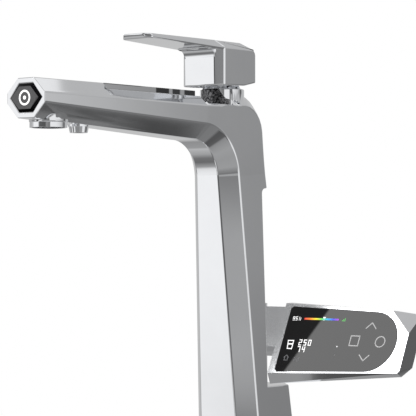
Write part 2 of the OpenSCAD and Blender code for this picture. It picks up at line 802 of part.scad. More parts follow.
// Dome over the nut, round the pivot of the lever
module neck_dome() {
    color(chrome) translate([0, neck_y, 0]) rotate_extrude() intersection() {
        translate([0, pivot_z]) difference() {
            circle(dome_r);
            circle(dome_r - 1.6);
        }
        translate([dome_open_d / 2, neck_top]) square(dome_r);
    }
}

// Cross section of the handle at the distance y, its top at the lever's top
module handle_station(y, w, t, c) {
    translate([0, neck_y + y, lever_top]) rotate([90, 0, 0]) linear_extrude(0.01)
        polygon([[c - w / 2, 0], [w / 2 - c, 0], [w / 2, -c], [w / 2, -t], [-w / 2, -t], [-w / 2, -c]]);
}

// Block of the lever: side view, plan and front view cut into each other
module lever_block() {
    w = lever_w / 2;
    f = lever_flat;
    intersection() {
        translate([-w, neck_y, lever_z]) rotate([90, 0, 90]) linear_extrude(lever_w)
            polygon([[-lever_front, 0], [3, 0.8], [lever_back - 1.5, 4.2], [lever_back, 8],
                [lever_back - 3, lever_h - 10], [lever_back - 7, lever_h - 4.6],
                [4, lever_h], [-lever_front, lever_h]]);
        translate([0, neck_y, lever_z]) linear_extrude(lever_h)
            polygon([[f - w, -lever_front], [w - f, -lever_front], [w, f - lever_front],
                [w, lever_back - f], [w - f, lever_back], [f - w, lever_back],
                [-w, lever_back - f], [-w, f - lever_front]]);
        translate([0, neck_y + lever_back, lever_z]) rotate([90, 0, 0])
            linear_extrude(lever_back + lever_front)
            polygon([[-w, 0], [w, 0], [w, lever_h - f], [w - f, lever_h],
                [f - w, lever_h], [-w, lever_h - f]]);
    }
}

module lever_handle() {
    w = lever_w / 2;
    corner = handle_tip_w * 0.18;
    gusset = 4.5;
    hollow_top = pivot_z + dome_r + 1.2;
    color(chrome) difference() {
        union() {
            lever_block();
            hull() {
                handle_station(-handle_reach, handle_tip_w - 2 * corner, handle_tip_t - 0.3, 1.4);
                handle_station(corner - handle_reach, handle_tip_w, handle_tip_t, 1.6);
                handle_station(8 - lever_front, lever_w - 1, handle_root_t, lever_flat - 0.4);
            }
            translate([0, neck_y - lever_front, lever_top - handle_root_t + 0.2]) rotate([90, 0, 90])
                translate([0, 0, lever_flat - w]) linear_extrude(lever_w - 2 * lever_flat)
                difference() {
                    translate([-gusset, -gusset]) square(gusset + 2);
                    translate([-gusset, -gusset]) circle(gusset);
                }
        }
        translate([lever_wall - w, neck_y + lever_wall - lever_front, lever_z - eps])
            cube([lever_w - 2 * lever_wall, lever_front + lever_back - 2 * lever_wall - 1,
                hollow_top - lever_z + eps]);
        translate([-stem_w / 2 - seat_fit, neck_y - stem_w / 2 - seat_fit, hollow_top - eps])
            cube([stem_w + 2 * seat_fit, stem_w + 2 * seat_fit, socket_top - hollow_top + eps]);
        screw_axis() cylinder(d = lever_screw_d + 2 * seat_fit, h = lever_back);
        screw_axis() translate([0, 0, lever_back - 8]) cylinder(d = plug_d + 2 * seat_fit, h = 12);
    }
}

// Axis of the set screw, from the neck's axis to the back of the lever
module screw_axis() {
    translate([0, neck_y, screw_z]) rotate([-90, 0, 0]) children();
}
module lever_screw() {
    color("dimgray") screw_axis() translate([0, 0, stem_w / 2]) difference() {
        cylinder(d = lever_screw_d, h = 8);
        translate([0, 0, 5.5]) cylinder(d = 2.8, h = 4, $fn = 6);
    }
}
module lever_plug() {
    color(chrome) screw_axis() translate([0, 0, lever_back - 8]) cylinder(d = plug_d, h = 3.8);
}

// Display's own frame: x along it, y up its slope, z out of its front
module on_display() {
    translate([display_from, -display_front, display_z]) rotate([90 - display_lean, 0, 0]) children();
}

// Outline of the front, of the widest part and of the back. The inner end is flat.
function display_outline(low, top, end, tail) =
    let (l = display_mid - display_h_in / 2 - low, h = display_mid + display_h_in / 2 + top,
        lo = display_mid - display_h_out / 2 - tail, ho = display_mid + display_h_out / 2 + tail,
        e = display_len + end)
    [[0, l], [0, h], [e - 6, ho], [e, ho - 9], [e, lo + 7], [e - 7, lo]];
module front_slice(n) {
    l = display_mid - display_h_in / 2;
    lo = display_mid - display_h_out / 2;
    translate([0, 0, n]) linear_extrude(0.01) polygon([[0, l], [0, l + display_h_in],
        [display_len - 1.5, lo + display_h_out], [display_len, lo + display_h_out - 2],
        [display_len, lo + 2], [display_len - 1.5, lo]]);
}
module wide_slice(n, inset) {
    translate([0, 0, n]) linear_extrude(0.01) offset(delta = -inset)
        polygon(display_outline(bulge_low, bulge_top, bulge_end, 0.4));
}
module back_slice(n, inset) {
    translate([0, 0, n]) linear_extrude(0.01) offset(delta = -inset)
        polygon(display_outline(-1, -6, -4, -6));
}

// Glass: straight inner end, round outer end
module glass_outline(grow) {
    r = glass_h_out / 2 + grow;
    cx = glass_from + glass_len - glass_h_out / 2;
    half = glass_h_in / 2 + grow;
    x0 = glass_from - grow;
    c = 2;
    translate([0, display_mid - 0.4]) polygon(concat(
        [[x0 + c, half], [x0, half - c], [x0, c - half], [x0 + c, -half]],
        [for (a = [-88 : 8 : 88]) [cx + r * cos(a), r * sin(a)]]));
}

module display_frame() {
    color(chrome) on_display() difference() {
        hull() {
            front_slice(-0.01);
            wide_slice(-frame_t, 0);
        }
        translate([0, 0, -glass_t]) linear_extrude(glass_t + eps) glass_outline(0.15);
        translate([0, 0, -frame_t - eps]) linear_extrude(frame_t) glass_outline(-2.4);
    }
}

module display_back() {
    color(dark) on_display() difference() {
        hull() {
            wide_slice(-frame_t - 0.01, 0);
            back_slice(-frame_t - back_t, 0);
        }
        hull() {
            wide_slice(eps - frame_t, shell_wall);
            wide_slice(-frame_t - 0.2, shell_wall);
            back_slice(shell_wall - frame_t - back_t, shell_wall);
        }
        on_screws() translate([0, 0, -eps]) cylinder(d = screw_d + 2 * seat_fit, h = shell_wall + 2 * eps);
    }
}

// Axes of the two screws through the display's inner end into the arm, starting at that end
module on_screws() {
    for (v = [arm_low + 8, arm_top - 8]) translate([0, v, -frame_t - screw_back]) rotate([0, 90, 0]) children();
}
module display_screws() {
    color("silver") on_display() on_screws() {
        translate([0, 0, -screw_len + shell_wall]) cylinder(d = screw_d, h = screw_len);
        translate([0, 0, shell_wall]) difference() {
            cylinder(d = 1.7 * screw_d, h = 2.6);
            translate([0, 0, 1.2]) cylinder(d = 2.4, h = 3, $fn = 6);
        }
    }
}

module display_glass() {
    color(dark) on_display() translate([0, 0, -glass_t]) linear_extrude(glass_t) glass_outline(0);
}

// Screen and board lie one behind the other, against the back of the glass
module behind_glass(n, t, grow) {
    on_display() translate([0, 0, n - t]) linear_extrude(t) glass_outline(grow);
}
module display_panel() {
    color("steelblue") behind_glass(-glass_t, panel_t, -4);
}
module display_board() {
    color("green") behind_glass(-glass_t - panel_t, board_t, -2.7);
}

module display_arm() {
    m = 3;
    color(chrome) difference() {
        union() {
            on_display() translate([-display_from, 0, 0]) rotate([90, 0, 90]) linear_extrude(display_from)
                polygon([[arm_low, -m], [arm_low + m, 0], [arm_top, 0], [arm_top, m - arm_t],
                    [arm_top - m, -arm_t], [arm_low + m, -arm_t], [arm_low, m - arm_t]]);
            translate([0, pin_y, hub_z]) cylinder(d = hub_d, h = hub_top - hub_z);
        }
        translate([0, pin_y, hub_z - hub_d]) cylinder(d = bush_d + 2 * seat_fit, h = hub_top);
        on_display() on_screws() translate([0, 0, shell_wall - screw_len - eps])
            cylinder(d = screw_d + 2 * seat_fit, h = screw_len);
    }
}

module pivot_pin() {
    top = hub_top + bush_flange + cap_h - 1;
    color("silver") translate([0, pin_y, notch_floor - pin_seat]) difference() {
        cylinder(d = pin_d, h = top - notch_floor + pin_seat);
        translate([0, 0, -eps]) cylinder(d = pin_bore_d, h = top - notch_floor + pin_seat + 2 * eps);
    }
}

// One bush pushed in from each end of the hub
module pivot_bushes() {
    color("tan") translate([0, pin_y, 0]) for (up = [0, 1]) difference() {
        z0 = up ? hub_top : notch_floor + run_fit;
        t = up ? bush_flange : hub_z - notch_floor - run_fit;
        union() {
            translate([0, 0, z0]) cylinder(d = bush_flange_d, h = t);
            translate([0, 0, up ? z0 - bush_len : z0 + t - eps]) cylinder(d = bush_d, h = bush_len + eps);
        }
        translate([0, 0, z0 - 2 * bush_len]) cylinder(d = pin_d + 2 * run_fit, h = 4 * bush_len);
    }
}

module pivot_cap() {
    z0 = hub_top + bush_flange + run_fit;
    color(chrome) translate([0, pin_y, z0]) difference() {
        union() {
            cylinder(d = bush_flange_d, h = cap_h - 1.2);
            translate([0, 0, cap_h - 1.2]) cylinder(d1 = bush_flange_d, d2 = bush_flange_d - 2.4, h = 1.2);
        }
        translate([0, 0, -eps]) cylinder(d = pin_d + 2 * press_fit, h = cap_h - 1 - run_fit + eps);
    }
}

// Flat outline of the column's foot, grown on every side
module foot_outline(grow) {
    polygon([for (p = section(foot_station(foot_z), -grow)) [p[0], p[1]]]);
}

module foot_block() {
    seat_top = foot_z + shank_seat;
    color(brass) difference() {
        loft([section(foot_station(block_top), wall + seat_fit),
            section(foot_station(foot_z), wall + seat_fit)]);
        translate([0, 0, foot_z - eps]) cylinder(d = shank_d, h = shank_seat + eps);
        for (p = inlet_points) translate([p[0], p[1], seat_top - eps]) cylinder(d = inlet_d, h = inlet_depth + eps);
        translate([cable_x, cable_y, seat_top - eps]) cylinder(d = cable_d, h = block_h);
        for (p = socket_points) translate([p[0], p[1], block_top - tube_socket])
            cylinder(d = p[2] + 2 * seat_fit, h = tube_socket + eps);
        for (k = [0 : 2]) tube_leg([inlet_points[k][0], inlet_points[k][1], seat_top + inlet_depth - 1],
            [socket_points[k][0], socket_points[k][1], block_top - tube_socket + 0.6], 1.5);
    }
}

module base_ring() {
    color(chrome) difference() {
        translate([0, 0, gasket_t]) linear_extrude(ring_t) foot_outline(ring_lip);
        cylinder(d = shank_d + 2 * seat_fit, h = 3 * ring_t + gasket_t);
    }
}

module base_gasket() {
    color(dark) difference() {
        linear_extrude(gasket_t) foot_outline(ring_lip - 0.6);
        translate([0, 0, -eps]) cylinder(d = shank_d + 1, h = gasket_t + 2 * eps);
    }
}

// Ring on the shank's axis, hanging down from the height z
module ring_below(z, d, hole_d, h) {
    translate([0, 0, z - h]) difference() {
        cylinder(d = d, h = h);
        translate([0, 0, -eps]) cylinder(d = hole_d, h = h + 2 * eps);
    }
}

module shank() {
    color(brass) ring_below(foot_z + shank_seat, shank_d - 2 * seat_fit, shank_bore_d,
        shank_len + foot_z + shank_seat);
}
module deck_washer() {
    color(dark) ring_below(-deck_t, washer_d, shank_d + 0.8, rubber_t);
}
module clamp_plate() {
    color("silver") ring_below(-deck_t - rubber_t, washer_d, shank_d + 0.8, steel_t);
}
module shank_nut() {
    z = -deck_t - rubber_t - steel_t;
    color(brass) difference() {
        translate([0, 0, z - nut_h]) cylinder(d = nut_af / cos(30), h = nut_h, $fn = 6);
        translate([0, 0, z - nut_h - eps]) cylinder(d = shank_d, h = nut_h + 2 * eps);
    }
}

module cable_grommet() {
    z0 = foot_z + shank_seat;
    color(dark) translate([cable_x, cable_y, z0]) difference() {
        union() {
            cylinder(d = cable_d - 2 * seat_fit, h = block_top - z0 + eps);
            translate([0, 0, block_top - z0]) cylinder(d = cable_d + 2, h = 1.4);
        }
        translate([0, 0, -eps]) cylinder(d = cable_d - 3, h = block_h);
    }
}

faucet_body();
spout_cover();
tip_lens();
tip_light_board();
aerator_housing();
aerator_insert();
aerator_gasket();
pure_nozzle();
nozzle_gasket();
mixed_water_tube();
ionized_water_tube();
supply_tubes();
cartridge_seal();
cartridge_housing();
fixed_disc();
moving_disc();
disc_slider();
cartridge_carrier();
stem_pin();
cartridge_stem();
cartridge_nut();
neck_dome();
lever_handle();
lever_screw();
lever_plug();
display_arm();
display_frame();
display_back();
display_glass();
display_panel();
display_board();
display_screws();
pivot_pin();
pivot_bushes();
pivot_cap();
foot_block();
base_ring();
base_gasket();
shank();
deck_washer();
clamp_plate();
shank_nut();
cable_grommet();
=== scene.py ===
import json
import math

import bmesh
import bpy
import numpy as np
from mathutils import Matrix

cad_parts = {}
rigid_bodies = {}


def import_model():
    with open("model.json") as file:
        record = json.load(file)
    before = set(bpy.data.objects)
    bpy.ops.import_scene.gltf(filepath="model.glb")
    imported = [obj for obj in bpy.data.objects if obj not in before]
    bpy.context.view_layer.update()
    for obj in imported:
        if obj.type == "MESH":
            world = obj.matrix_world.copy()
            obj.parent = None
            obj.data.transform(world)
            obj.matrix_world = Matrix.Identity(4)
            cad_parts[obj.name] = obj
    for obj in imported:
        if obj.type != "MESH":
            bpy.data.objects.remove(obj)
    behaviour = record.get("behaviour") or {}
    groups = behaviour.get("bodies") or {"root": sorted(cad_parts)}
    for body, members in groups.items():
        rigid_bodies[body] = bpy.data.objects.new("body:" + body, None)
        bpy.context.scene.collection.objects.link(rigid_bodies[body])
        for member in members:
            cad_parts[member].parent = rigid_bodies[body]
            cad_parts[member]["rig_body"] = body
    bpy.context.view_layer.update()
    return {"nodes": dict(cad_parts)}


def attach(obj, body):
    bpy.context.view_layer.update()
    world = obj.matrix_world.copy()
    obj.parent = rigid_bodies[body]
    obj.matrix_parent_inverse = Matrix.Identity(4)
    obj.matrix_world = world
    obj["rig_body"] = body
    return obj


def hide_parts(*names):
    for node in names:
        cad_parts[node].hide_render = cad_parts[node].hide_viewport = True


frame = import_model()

print("stage: frame loaded,", len(frame["nodes"]), "solids")

mm = 0.001  # one millimetre in the scene's metres


class Wire:  # an output socket that takes part in sums

    def __init__(self, shading, socket):
        self.shading, self.socket = shading, socket

    def maths(self, operation, *values):
        return self.shading.maths(operation, *values)

    def __add__(self, other):
        return self.maths("ADD", self, other)

    def __radd__(self, other):
        return self.maths("ADD", other, self)

    def __sub__(self, other):
        return self.maths("SUBTRACT", self, other)

    def __rsub__(self, other):
        return self.maths("SUBTRACT", other, self)

    def __mul__(self, other):
        return self.maths("MULTIPLY", self, other)

    def __rmul__(self, other):
        return self.maths("MULTIPLY", other, self)

    def __truediv__(self, other):
        return self.maths("DIVIDE", self, other)

    def __rtruediv__(self, other):
        return self.maths("DIVIDE", other, self)

    def __neg__(self):
        return self.maths("MULTIPLY", self, -1)

    def absolute(self):
        return self.maths("ABSOLUTE", self)

    def larger(self, other):
        return self.maths("MAXIMUM", self, other)

    def rise(self, low, high):  # 0 up to low, 1 from high on, smooth between them
        return self.shading.add("ShaderNodeMapRange", {"interpolation_type": "SMOOTHSTEP"},
                                {"Value": self, "From Min": low, "From Max": high})

    def within(self, low, high):  # rises over the pair low and falls over the pair high
        return self.rise(*low) * (1 - self.rise(*high))

    def toward(self, other, share):
        return self + share * (other - self)


class Shading:  # the nodes of one material or world

    def __init__(self, tree):
        self.tree = tree
        tree.nodes.clear()

    def add(self, kind, settings=None, inputs=None, output=0):
        node = self.tree.nodes.new(kind)
        for name, value in (settings or {}).items():
            if name == "stops":
                ramp = node.color_ramp
                while len(ramp.elements) < len(value):
                    ramp.elements.new(0.5)
                for element, (place, colour) in zip(ramp.elements, value):
                    element.position, element.color = place, (*colour, 1)
            else:
                setattr(node, name, value)
        for name, value in (inputs or {}).items():
            if isinstance(value, Wire):
                self.tree.links.new(value.socket, node.inputs[name])
            else:
                node.inputs[name].default_value = value
        return Wire(self, node.outputs[output]) if len(node.outputs) else node

    def maths(self, operation, *values):
        return self.add("ShaderNodeMath", {"operation": operation}, dict(enumerate(values)))

    def blend(self, factor, first, second):
        mix = self.add("ShaderNodeMix", {"data_type": "RGBA"}, {0: factor}, output=2)
        for socket, value in ((mix.socket.node.inputs[6], first), (mix.socket.node.inputs[7], second)):
            if isinstance(value, Wire):
                self.tree.links.new(value.socket, socket)
            else:
                socket.default_value = (*value, 1)
        return mix

    def place(self):  # Object coordinates
        return self.add("ShaderNodeTexCoord", output=3)

    def split(self, vector):
        node = self.add("ShaderNodeSeparateXYZ", None, {"Vector": vector}).socket.node
        return [Wire(self, socket) for socket in node.outputs]

    def ray(self, name):
        node = self.add("ShaderNodeLightPath").socket.node
        return Wire(self, node.outputs[name])

    def noise(self, scale, detail=3, rough=0.5, at=None):
        return self.add("ShaderNodeTexNoise", None,
                        {"Vector": at or self.place(), "Scale": scale, "Detail": detail, "Roughness": rough})

    def ramp(self, value, low, high, stops):  # stops are pairs of value and level
        places = [((at - low) / (high - low), (level, level, level)) for at, level in stops]
        return self.add("ShaderNodeValToRGB", {"stops": places}, {"Fac": (value - low) / (high - low)})

    def bump(self, height, strength, distance):
        return self.add("ShaderNodeBump", None,
                        {"Height": height, "Strength": strength, "Distance": distance})


finishes = {}


def newFinish(name):
    finishes[name] = bpy.data.materials.new(name)
    finishes[name].use_nodes = True
    return Shading(finishes[name].node_tree)


def surface(shading, **inputs):
    names = {"colour": "Base Color", "metal": "Metallic", "rough": "Roughness", "coat": "Coat Weight",
             "coatRough": "Coat Roughness", "normal": "Normal", "glow": "Emission Color",
             "glowStrength": "Emission Strength", "ior": "IOR"}
    values = {}
    for key, value in inputs.items():
        if isinstance(value, tuple) and len(value) == 3:
            value = (*value, 1)
        values[names[key]] = value
    shader = shading.add("ShaderNodeBsdfPrincipled", None, values)
    shading.add("ShaderNodeOutputMaterial", None, {"Surface": shader})


def plating(shading, settings, place):  # colour and roughness of chrome with faint smears
    smear = shading.noise(settings["smearScale"], 4, 0.6, place)
    colour = shading.blend(smear.rise(0.3, 0.8), settings["colour"], settings["colourWorn"])
    return colour, settings["rough"] + smear.rise(0.45, 0.75) * settings["smear"]


def platedFinish(name, settings):
    shading = newFinish(name)
    place = shading.place()
    colour, rough = plating(shading, settings, place)
    ripple = shading.noise(settings["rippleScale"], 2, 0.4, place)
    surface(shading, colour=colour, metal=1.0, rough=rough,
            normal=shading.bump(ripple, settings["ripple"], 0.6 * mm))


def turnedFinish(name, settings):
    shading = newFinish(name)
    place = shading.place()
    rings = shading.add("ShaderNodeTexWave", {"wave_type": "BANDS", "bands_direction": settings["across"]},
                        {"Vector": place, "Scale": settings["rings"], "Distortion": 0.6, "Detail": 2})
    spots = shading.noise(settings["spots"], 4, 0.6, place)
    colour = shading.blend(spots.rise(0.4, 0.75), settings["colour"], settings["colourDull"])
    surface(shading, colour=colour, metal=1.0, rough=settings["rough"] + spots * 0.2,
            normal=shading.bump(rings, 0.25, 0.1 * mm))


def mouldedFinish(name, settings):
    shading = newFinish(name)
    place = shading.place()
    grain = shading.noise(settings["grain"], 3, 0.55, place)
    shade = shading.noise(40, 2, 0.5, place)
    colour = shading.blend(shade.rise(0.3, 0.7), settings["colour"], settings["colourDeep"])
    surface(shading, colour=colour, metal=0.0, rough=settings["rough"] + grain * 0.12,
            normal=shading.bump(grain, settings["relief"], 0.2 * mm))


plateSettings = {"colour": (0.86, 0.87, 0.89), "colourWorn": (0.83, 0.84, 0.86), "rough": 0.04, "smear": 0.02,
                 "smearScale": 26.0, "ripple": 0.02, "rippleScale": 60.0}
platedFinish("chromePlate", plateSettings)
platedFinish("chromeSatin", {**plateSettings, "colour": (0.62, 0.63, 0.65), "colourWorn": (0.58, 0.59, 0.61),
                             "rough": 0.22, "smear": 0.08})
turnedFinish("turnedSteel", {"colour": (0.56, 0.56, 0.58), "colourDull": (0.42, 0.42, 0.44), "rough": 0.25,
                             "rings": 300.0, "spots": 90.0, "across": "Z"})
turnedFinish("turnedBrass", {"colour": (0.72, 0.52, 0.24), "colourDull": (0.55, 0.37, 0.15), "rough": 0.22,
                             "rings": 260.0, "spots": 70.0, "across": "Z"})
mouldedFinish("blackRubber", {"colour": (0.018, 0.018, 0.02), "colourDeep": (0.03, 0.03, 0.032),
                              "rough": 0.55, "grain": 900.0, "relief": 0.3})
mouldedFinish("whitePlastic", {"colour": (0.78, 0.78, 0.76), "colourDeep": (0.7, 0.7, 0.68), "rough": 0.38,
                               "grain": 1200.0, "relief": 0.15})
mouldedFinish("greyPlastic", {"colour": (0.12, 0.12, 0.125), "colourDeep": (0.09, 0.09, 0.095), "rough": 0.35,
                              "grain": 1200.0, "relief": 0.2})
mouldedFinish("tubePlastic", {"colour": (0.7, 0.72, 0.74), "colourDeep": (0.6, 0.62, 0.66), "rough": 0.3,
                              "grain": 500.0, "relief": 0.1})
mouldedFinish("groundCeramic", {"colour": (0.85, 0.83, 0.78), "colourDeep": (0.78, 0.76, 0.7), "rough": 0.25,
                                "grain": 1500.0, "relief": 0.1})
mouldedFinish("boardGreen", {"colour": (0.01, 0.1, 0.045), "colourDeep": (0.008, 0.07, 0.03), "rough": 0.3,
                             "grain": 400.0, "relief": 0.4})
print("stage: finishes,", len(finishes))


def addPiece(name, mesh, body, finish, stands=()):
    piece = bpy.data.objects.new(name, mesh)
    bpy.context.scene.collection.objects.link(piece)
    mesh.materials.clear()
    mesh.materials.append(finishes[finish])
    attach(piece, body)
    if stands:
        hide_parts(*stands)
    return piece


displayFront = {"origin": (31, -8.8, 106.5), "lean": 24.7}  # millimetres, and degrees from upright
facetSettings = {  # three points on the facet and one inside: along, up and out of the display's front
    "corners": ((94.5, 26.3, 0), (112, 10, 0), (112.8, 22.5, -3)), "inside": (50, 0, -3)}


def onDisplay(points, out):  # flat millimetres along and up the display's front, and out from it
    points = np.asarray(points, float)
    slope = math.radians(90 - displayFront["lean"])
    x, y, z = displayFront["origin"]
    along, up = points[:, 0], points[:, 1]
    return mm * np.stack([x + along, y + up * math.cos(slope) - out * math.sin(slope),
                          z + up * math.sin(slope) + out * math.cos(slope)], 1)


def cutFacet(work):
    a, b, c, inside = (onDisplay([point[:2]], point[2])[0]
                       for point in (*facetSettings["corners"], facetSettings["inside"]))
    normal = np.cross(b - a, c - a)
    normal *= np.sign(normal @ (a - inside))
    everything = list(work.verts) + list(work.edges) + list(work.faces)
    bmesh.ops.bisect_plane(work, geom=everything, plane_co=a, plane_no=normal, clear_outer=True)
    bmesh.ops.holes_fill(work, edges=[edge for edge in work.edges if edge.is_boundary])


dressUsual = {  # what a piece has where its own settings say nothing
    "merge": 0.002 * mm, "flatten": 0.3, "sharp": 28,  # joined points, then degrees: one face, sharp edge
    "space": 2.0, "fine": 0.2,  # room for a full round in widths, and the share of it elsewhere
    "tipFrom": -1, "tipShare": 1, "plainBox": None,  # edges before this Y, and edges in this box stay plain
    "steps": 2, "clamp": True, "mirrored": True, "facet": False}


def roundShare(edge, sharp, settings):  # a full round where there is room beside the edge, else a fine one
    room = [other.calc_length() for corner in edge.verts for other in corner.link_edges if other not in sharp]
    room.append(edge.calc_length())
    share = 1 if min(room) > settings["space"] * settings["round"] else settings["fine"]
    if max(corner.co.y for corner in edge.verts) < settings["tipFrom"]:
        share = settings["tipShare"]
    if settings["plainBox"]:
        low, high = settings["plainBox"]
        if all(low[i] < corner.co[i] < high[i] for corner in edge.verts for i in range(3)):
            share = 0
    return share


def dressedCopy(nodeName, ownSettings, shape=None):
    settings = {**dressUsual, **ownSettings}
    source, limit, width = frame["nodes"][nodeName], math.radians(settings["sharp"]), settings["round"]
    work = bmesh.new()
    work.from_mesh(shape or source.data)
    bmesh.ops.remove_doubles(work, verts=work.verts, dist=settings["merge"])
    if settings["facet"]:
        cutFacet(work)
    bmesh.ops.dissolve_limit(work, angle_limit=math.radians(settings["flatten"]), verts=work.verts,
                             edges=work.edges, use_dissolve_boundaries=False)
    weights = work.edges.layers.float.new("bevel_weight_edge")
    sharp = {edge for edge in work.edges if width and edge.is_manifold and edge.calc_face_angle(0) > limit}
    for edge in sharp:
        edge[weights] = roundShare(edge, sharp, settings)
    mesh = bpy.data.meshes.new(nodeName + "Dressed")
    work.to_mesh(mesh)
    work.free()
    mesh.shade_smooth()
    mesh.set_sharp_from_angle(angle=limit)
    piece = addPiece(nodeName + "Dressed", mesh, source["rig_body"], settings["finish"],
                     (nodeName,))
    piece.visible_glossy = settings["mirrored"]
    if width == 0:
        return
    edge = piece.modifiers.new("roundEdges", "BEVEL")
    edge.width, edge.segments, edge.limit_method = width, settings["steps"], "WEIGHT"
    edge.harden_normals, edge.use_clamp_overlap = True, settings["clamp"]
    even = piece.modifiers.new("evenNormals", "WEIGHTED_NORMAL")  # the flats reflect as flats
    even.mode, even.weight, even.keep_sharp = "FACE_AREA", 50, True


dressed = {
    "faucet_body": {"slot": "polished_metal", "finish": "chromeWithRecessShade", "round": 0.8 * mm, "steps": 4,
                    "clamp": False, "tipFrom": -0.23, "tipShare": 0.6, "fine": 0.0, "mirrored": False},
    "spout_cover": {"slot": "polished_metal", "finish": "coverChromeWithReflections", "round": 0.4 * mm, "mirrored": False},
    "aerator_housing": {"slot": "polished_metal", "finish": "chromePlate", "round": 0.4 * mm},
    "pure_nozzle": {"slot": "polished_metal", "finish": "chromePlate", "round": 0.4 * mm},
    "neck_dome": {"slot": "polished_metal", "finish": "chromePlate", "round": 0.2 * mm},
    "lever_plug": {"slot": "polished_metal", "finish": "chromePlate", "round": 0.3 * mm},
    "display_arm": {"slot": "polished_metal", "finish": "chromePlate", "round": 0.6 * mm, "mirrored": False},
    "display_frame": {"slot": "polished_metal", "finish": "chromePlate", "round": 0.4 * mm, "mirrored": False,
                      "facet": True},
    "display_back": {"slot": "display_shell", "finish": "chromeSatin", "round": 0.6 * mm, "mirrored": False},
    "display_glass": {"slot": "cover_glass", "finish": "blackGlass", "round": 0.3 * mm, "mirrored": False},
    "display_panel": {"slot": "screen_panel", "finish": "greyPlastic", "round": 0.1 * mm, "mirrored": False},
    "display_board": {"slot": "circuit_board", "finish": "boardGreen", "round": 0.1 * mm, "mirrored": False},
    "display_screws": {"slot": "steel", "finish": "turnedSteel", "round": 0.1 * mm, "mirrored": False},
    "pivot_bushes": {"slot": "bush_plastic", "finish": "whitePlastic", "round": 0.1 * mm, "mirrored": False},
    "pivot_pin": {"slot": "steel", "finish": "turnedSteel", "round": 0.2 * mm, "mirrored": False},
    "pivot_cap": {"slot": "polished_metal", "finish": "chromePlate", "round": 0.4 * mm, "mirrored": False},
    "base_ring": {"slot": "polished_metal", "finish": "chromePlate", "round": 0.5 * mm},
    "shank_nut": {"slot": "bare_brass", "finish": "turnedBrass", "round": 0.5 * mm}}

recessShadeSettings = {  # metres: a dark speckled patch painted on the neck in the recess behind the cover, painted shade standing for the recess's dark reflection
    **plateSettings, "rough": 0.035,
    "from": (-0.0735, -0.073), "to": (-0.0399, -0.0397), "above": (0.2768, 0.277), "reach": 0.0065,
    "widenAt": (0.2905, 0.2815), "widen": (0.55, 1.6), "blur": 0.0002,
    "shadeSpeckleScale": 620, "recessShadeDark": (0.02, 0.02, 0.022), "recessShadeLight": (0.3, 0.3, 0.31), "recessShadeRough": 0.3}
coverSettings = {  # metres, and millimetres along the cover where its side shows plain chrome (1) or a painted dark reflection
    **plateSettings, "side": (0.0079, 0.0082), "foot": (0.2816, 0.2819), "brim": (0.2846, 0.2849),
    "brimEnds": (-0.135, -0.125), "edgeShare": 0.75, "dark": (0.005, 0.005, 0.006),
    "reflectionBands": [(-115.5, 0.85), (-114.5, 0.1), (-101.6, 0.1), (-100.6, 1.0), (-98, 1.0), (-97, 0.13),
              (-90, 0.13), (-88.6, 1.0), (-85.4, 1.0), (-84, 0.12), (-63, 0.12)]}
lensSettings = {  # millimetres: half sizes of the six-sided outline, then of its front
    "half": 14.3, "tall": 9.5, "flat": 6.2, "cut": 2.1, "back": -231.0, "edge": -234.0, "front": -235.3,
    "middle": 272.15, "rimSlope": 0.953, "rimSide": (12.1, 12.3), "rimTop": (7.3, 7.5),
    "slot": "dark_lens", "finish": "lensPlastic", "round": 0.25 * mm, "mirrored": False}


def recessShadeFinish():
    its, shading = recessShadeSettings, newFinish("chromeWithRecessShade")
    place = shading.place()
    x, y, z = shading.split(place)
    reach = its["reach"]
    for height, share in zip(its["widenAt"], its["widen"]):  # the painted shade patch widens below each height
        reach = reach + (height - z).larger(0) * share
    near = 1 - x.rise(reach - its["blur"], reach + its["blur"])
    # painted shade: the neck inside the recess is painted dark and speckled where its chrome would mirror the
    # recess's shade
    recessShade = y.within(its["from"], its["to"]) * z.rise(*its["above"]) * near
    plate, rough = plating(shading, its, place)
    shadeSpeckle = shading.noise(its["shadeSpeckleScale"], 5, 0.75, place)
    shadeColour = shading.blend(shadeSpeckle.rise(0.42, 0.62), its["recessShadeDark"], its["recessShadeLight"])
    surface(shading, colour=shading.blend(recessShade, plate, shadeColour), metal=1.0, rough=rough + recessShade * its["recessShadeRough"],
            normal=shading.bump(shadeSpeckle * recessShade, 0.6, 0.3 * mm))


def coverFinish():
    its, shading = coverSettings, newFinish("coverChromeWithReflections")
    place = shading.place()
    x, y, z = shading.split(place)
    # painted reflection: dark bands painted along one side of the cover, darker still along its foot and brim
    edges = (1 - z.rise(*its["foot"])).larger(z.rise(*its["brim"]) * (1 - y.rise(*its["brimEnds"])))
    reflectionBands = shading.ramp(y * 1000, -120, -60, its["reflectionBands"])
    paintedReflection = 1 - x.rise(*its["side"]) * (1 - reflectionBands * (1 - edges * its["edgeShare"]))
    plate, rough = plating(shading, its, place)
    surface(shading, colour=shading.blend(paintedReflection, its["dark"], plate), metal=1.0, rough=rough)


def lensFinish():
    its, shading = lensSettings, newFinish("lensPlastic")
    place = shading.place()
    haze = shading.noise(500, 2, 0.5, place)
    x, y, z = shading.split(place)
    height = (z - its["middle"] * mm).absolute() * 1000
    beside = (x.absolute() * 1000 + height * its["rimSlope"]).rise(*its["rimSide"])
    outside = beside.larger(height.rise(*its["rimTop"]))
    front = shading.blend(haze.rise(0.3, 0.7), (0.035, 0.035, 0.038), (0.05, 0.05, 0.054))
    surface(shading, colour=shading.blend(outside, front, (0.006, 0.006, 0.007)), rough=0.16 + haze * 0.06,
            coat=(1 - outside) * 0.6, coatRough=0.08, metal=outside)  # the leaning rim stays near black


def glassFinish():
    shading = newFinish("blackGlass")
    dust = shading.noise(900, 4, 0.7)
    colour = shading.blend(dust.rise(0.55, 0.8), (0.0035, 0.0035, 0.004), (0.006, 0.006, 0.007))
    surface(shading, colour=colour, rough=0.008 + dust.rise(0.5, 0.9) * 0.02, metal=0.0, ior=1.45)


recessShadeFinish()
coverFinish()
lensFinish()
glassFinish()
for nodeName, settings in dressed.items():
    dressedCopy(nodeName, settings)

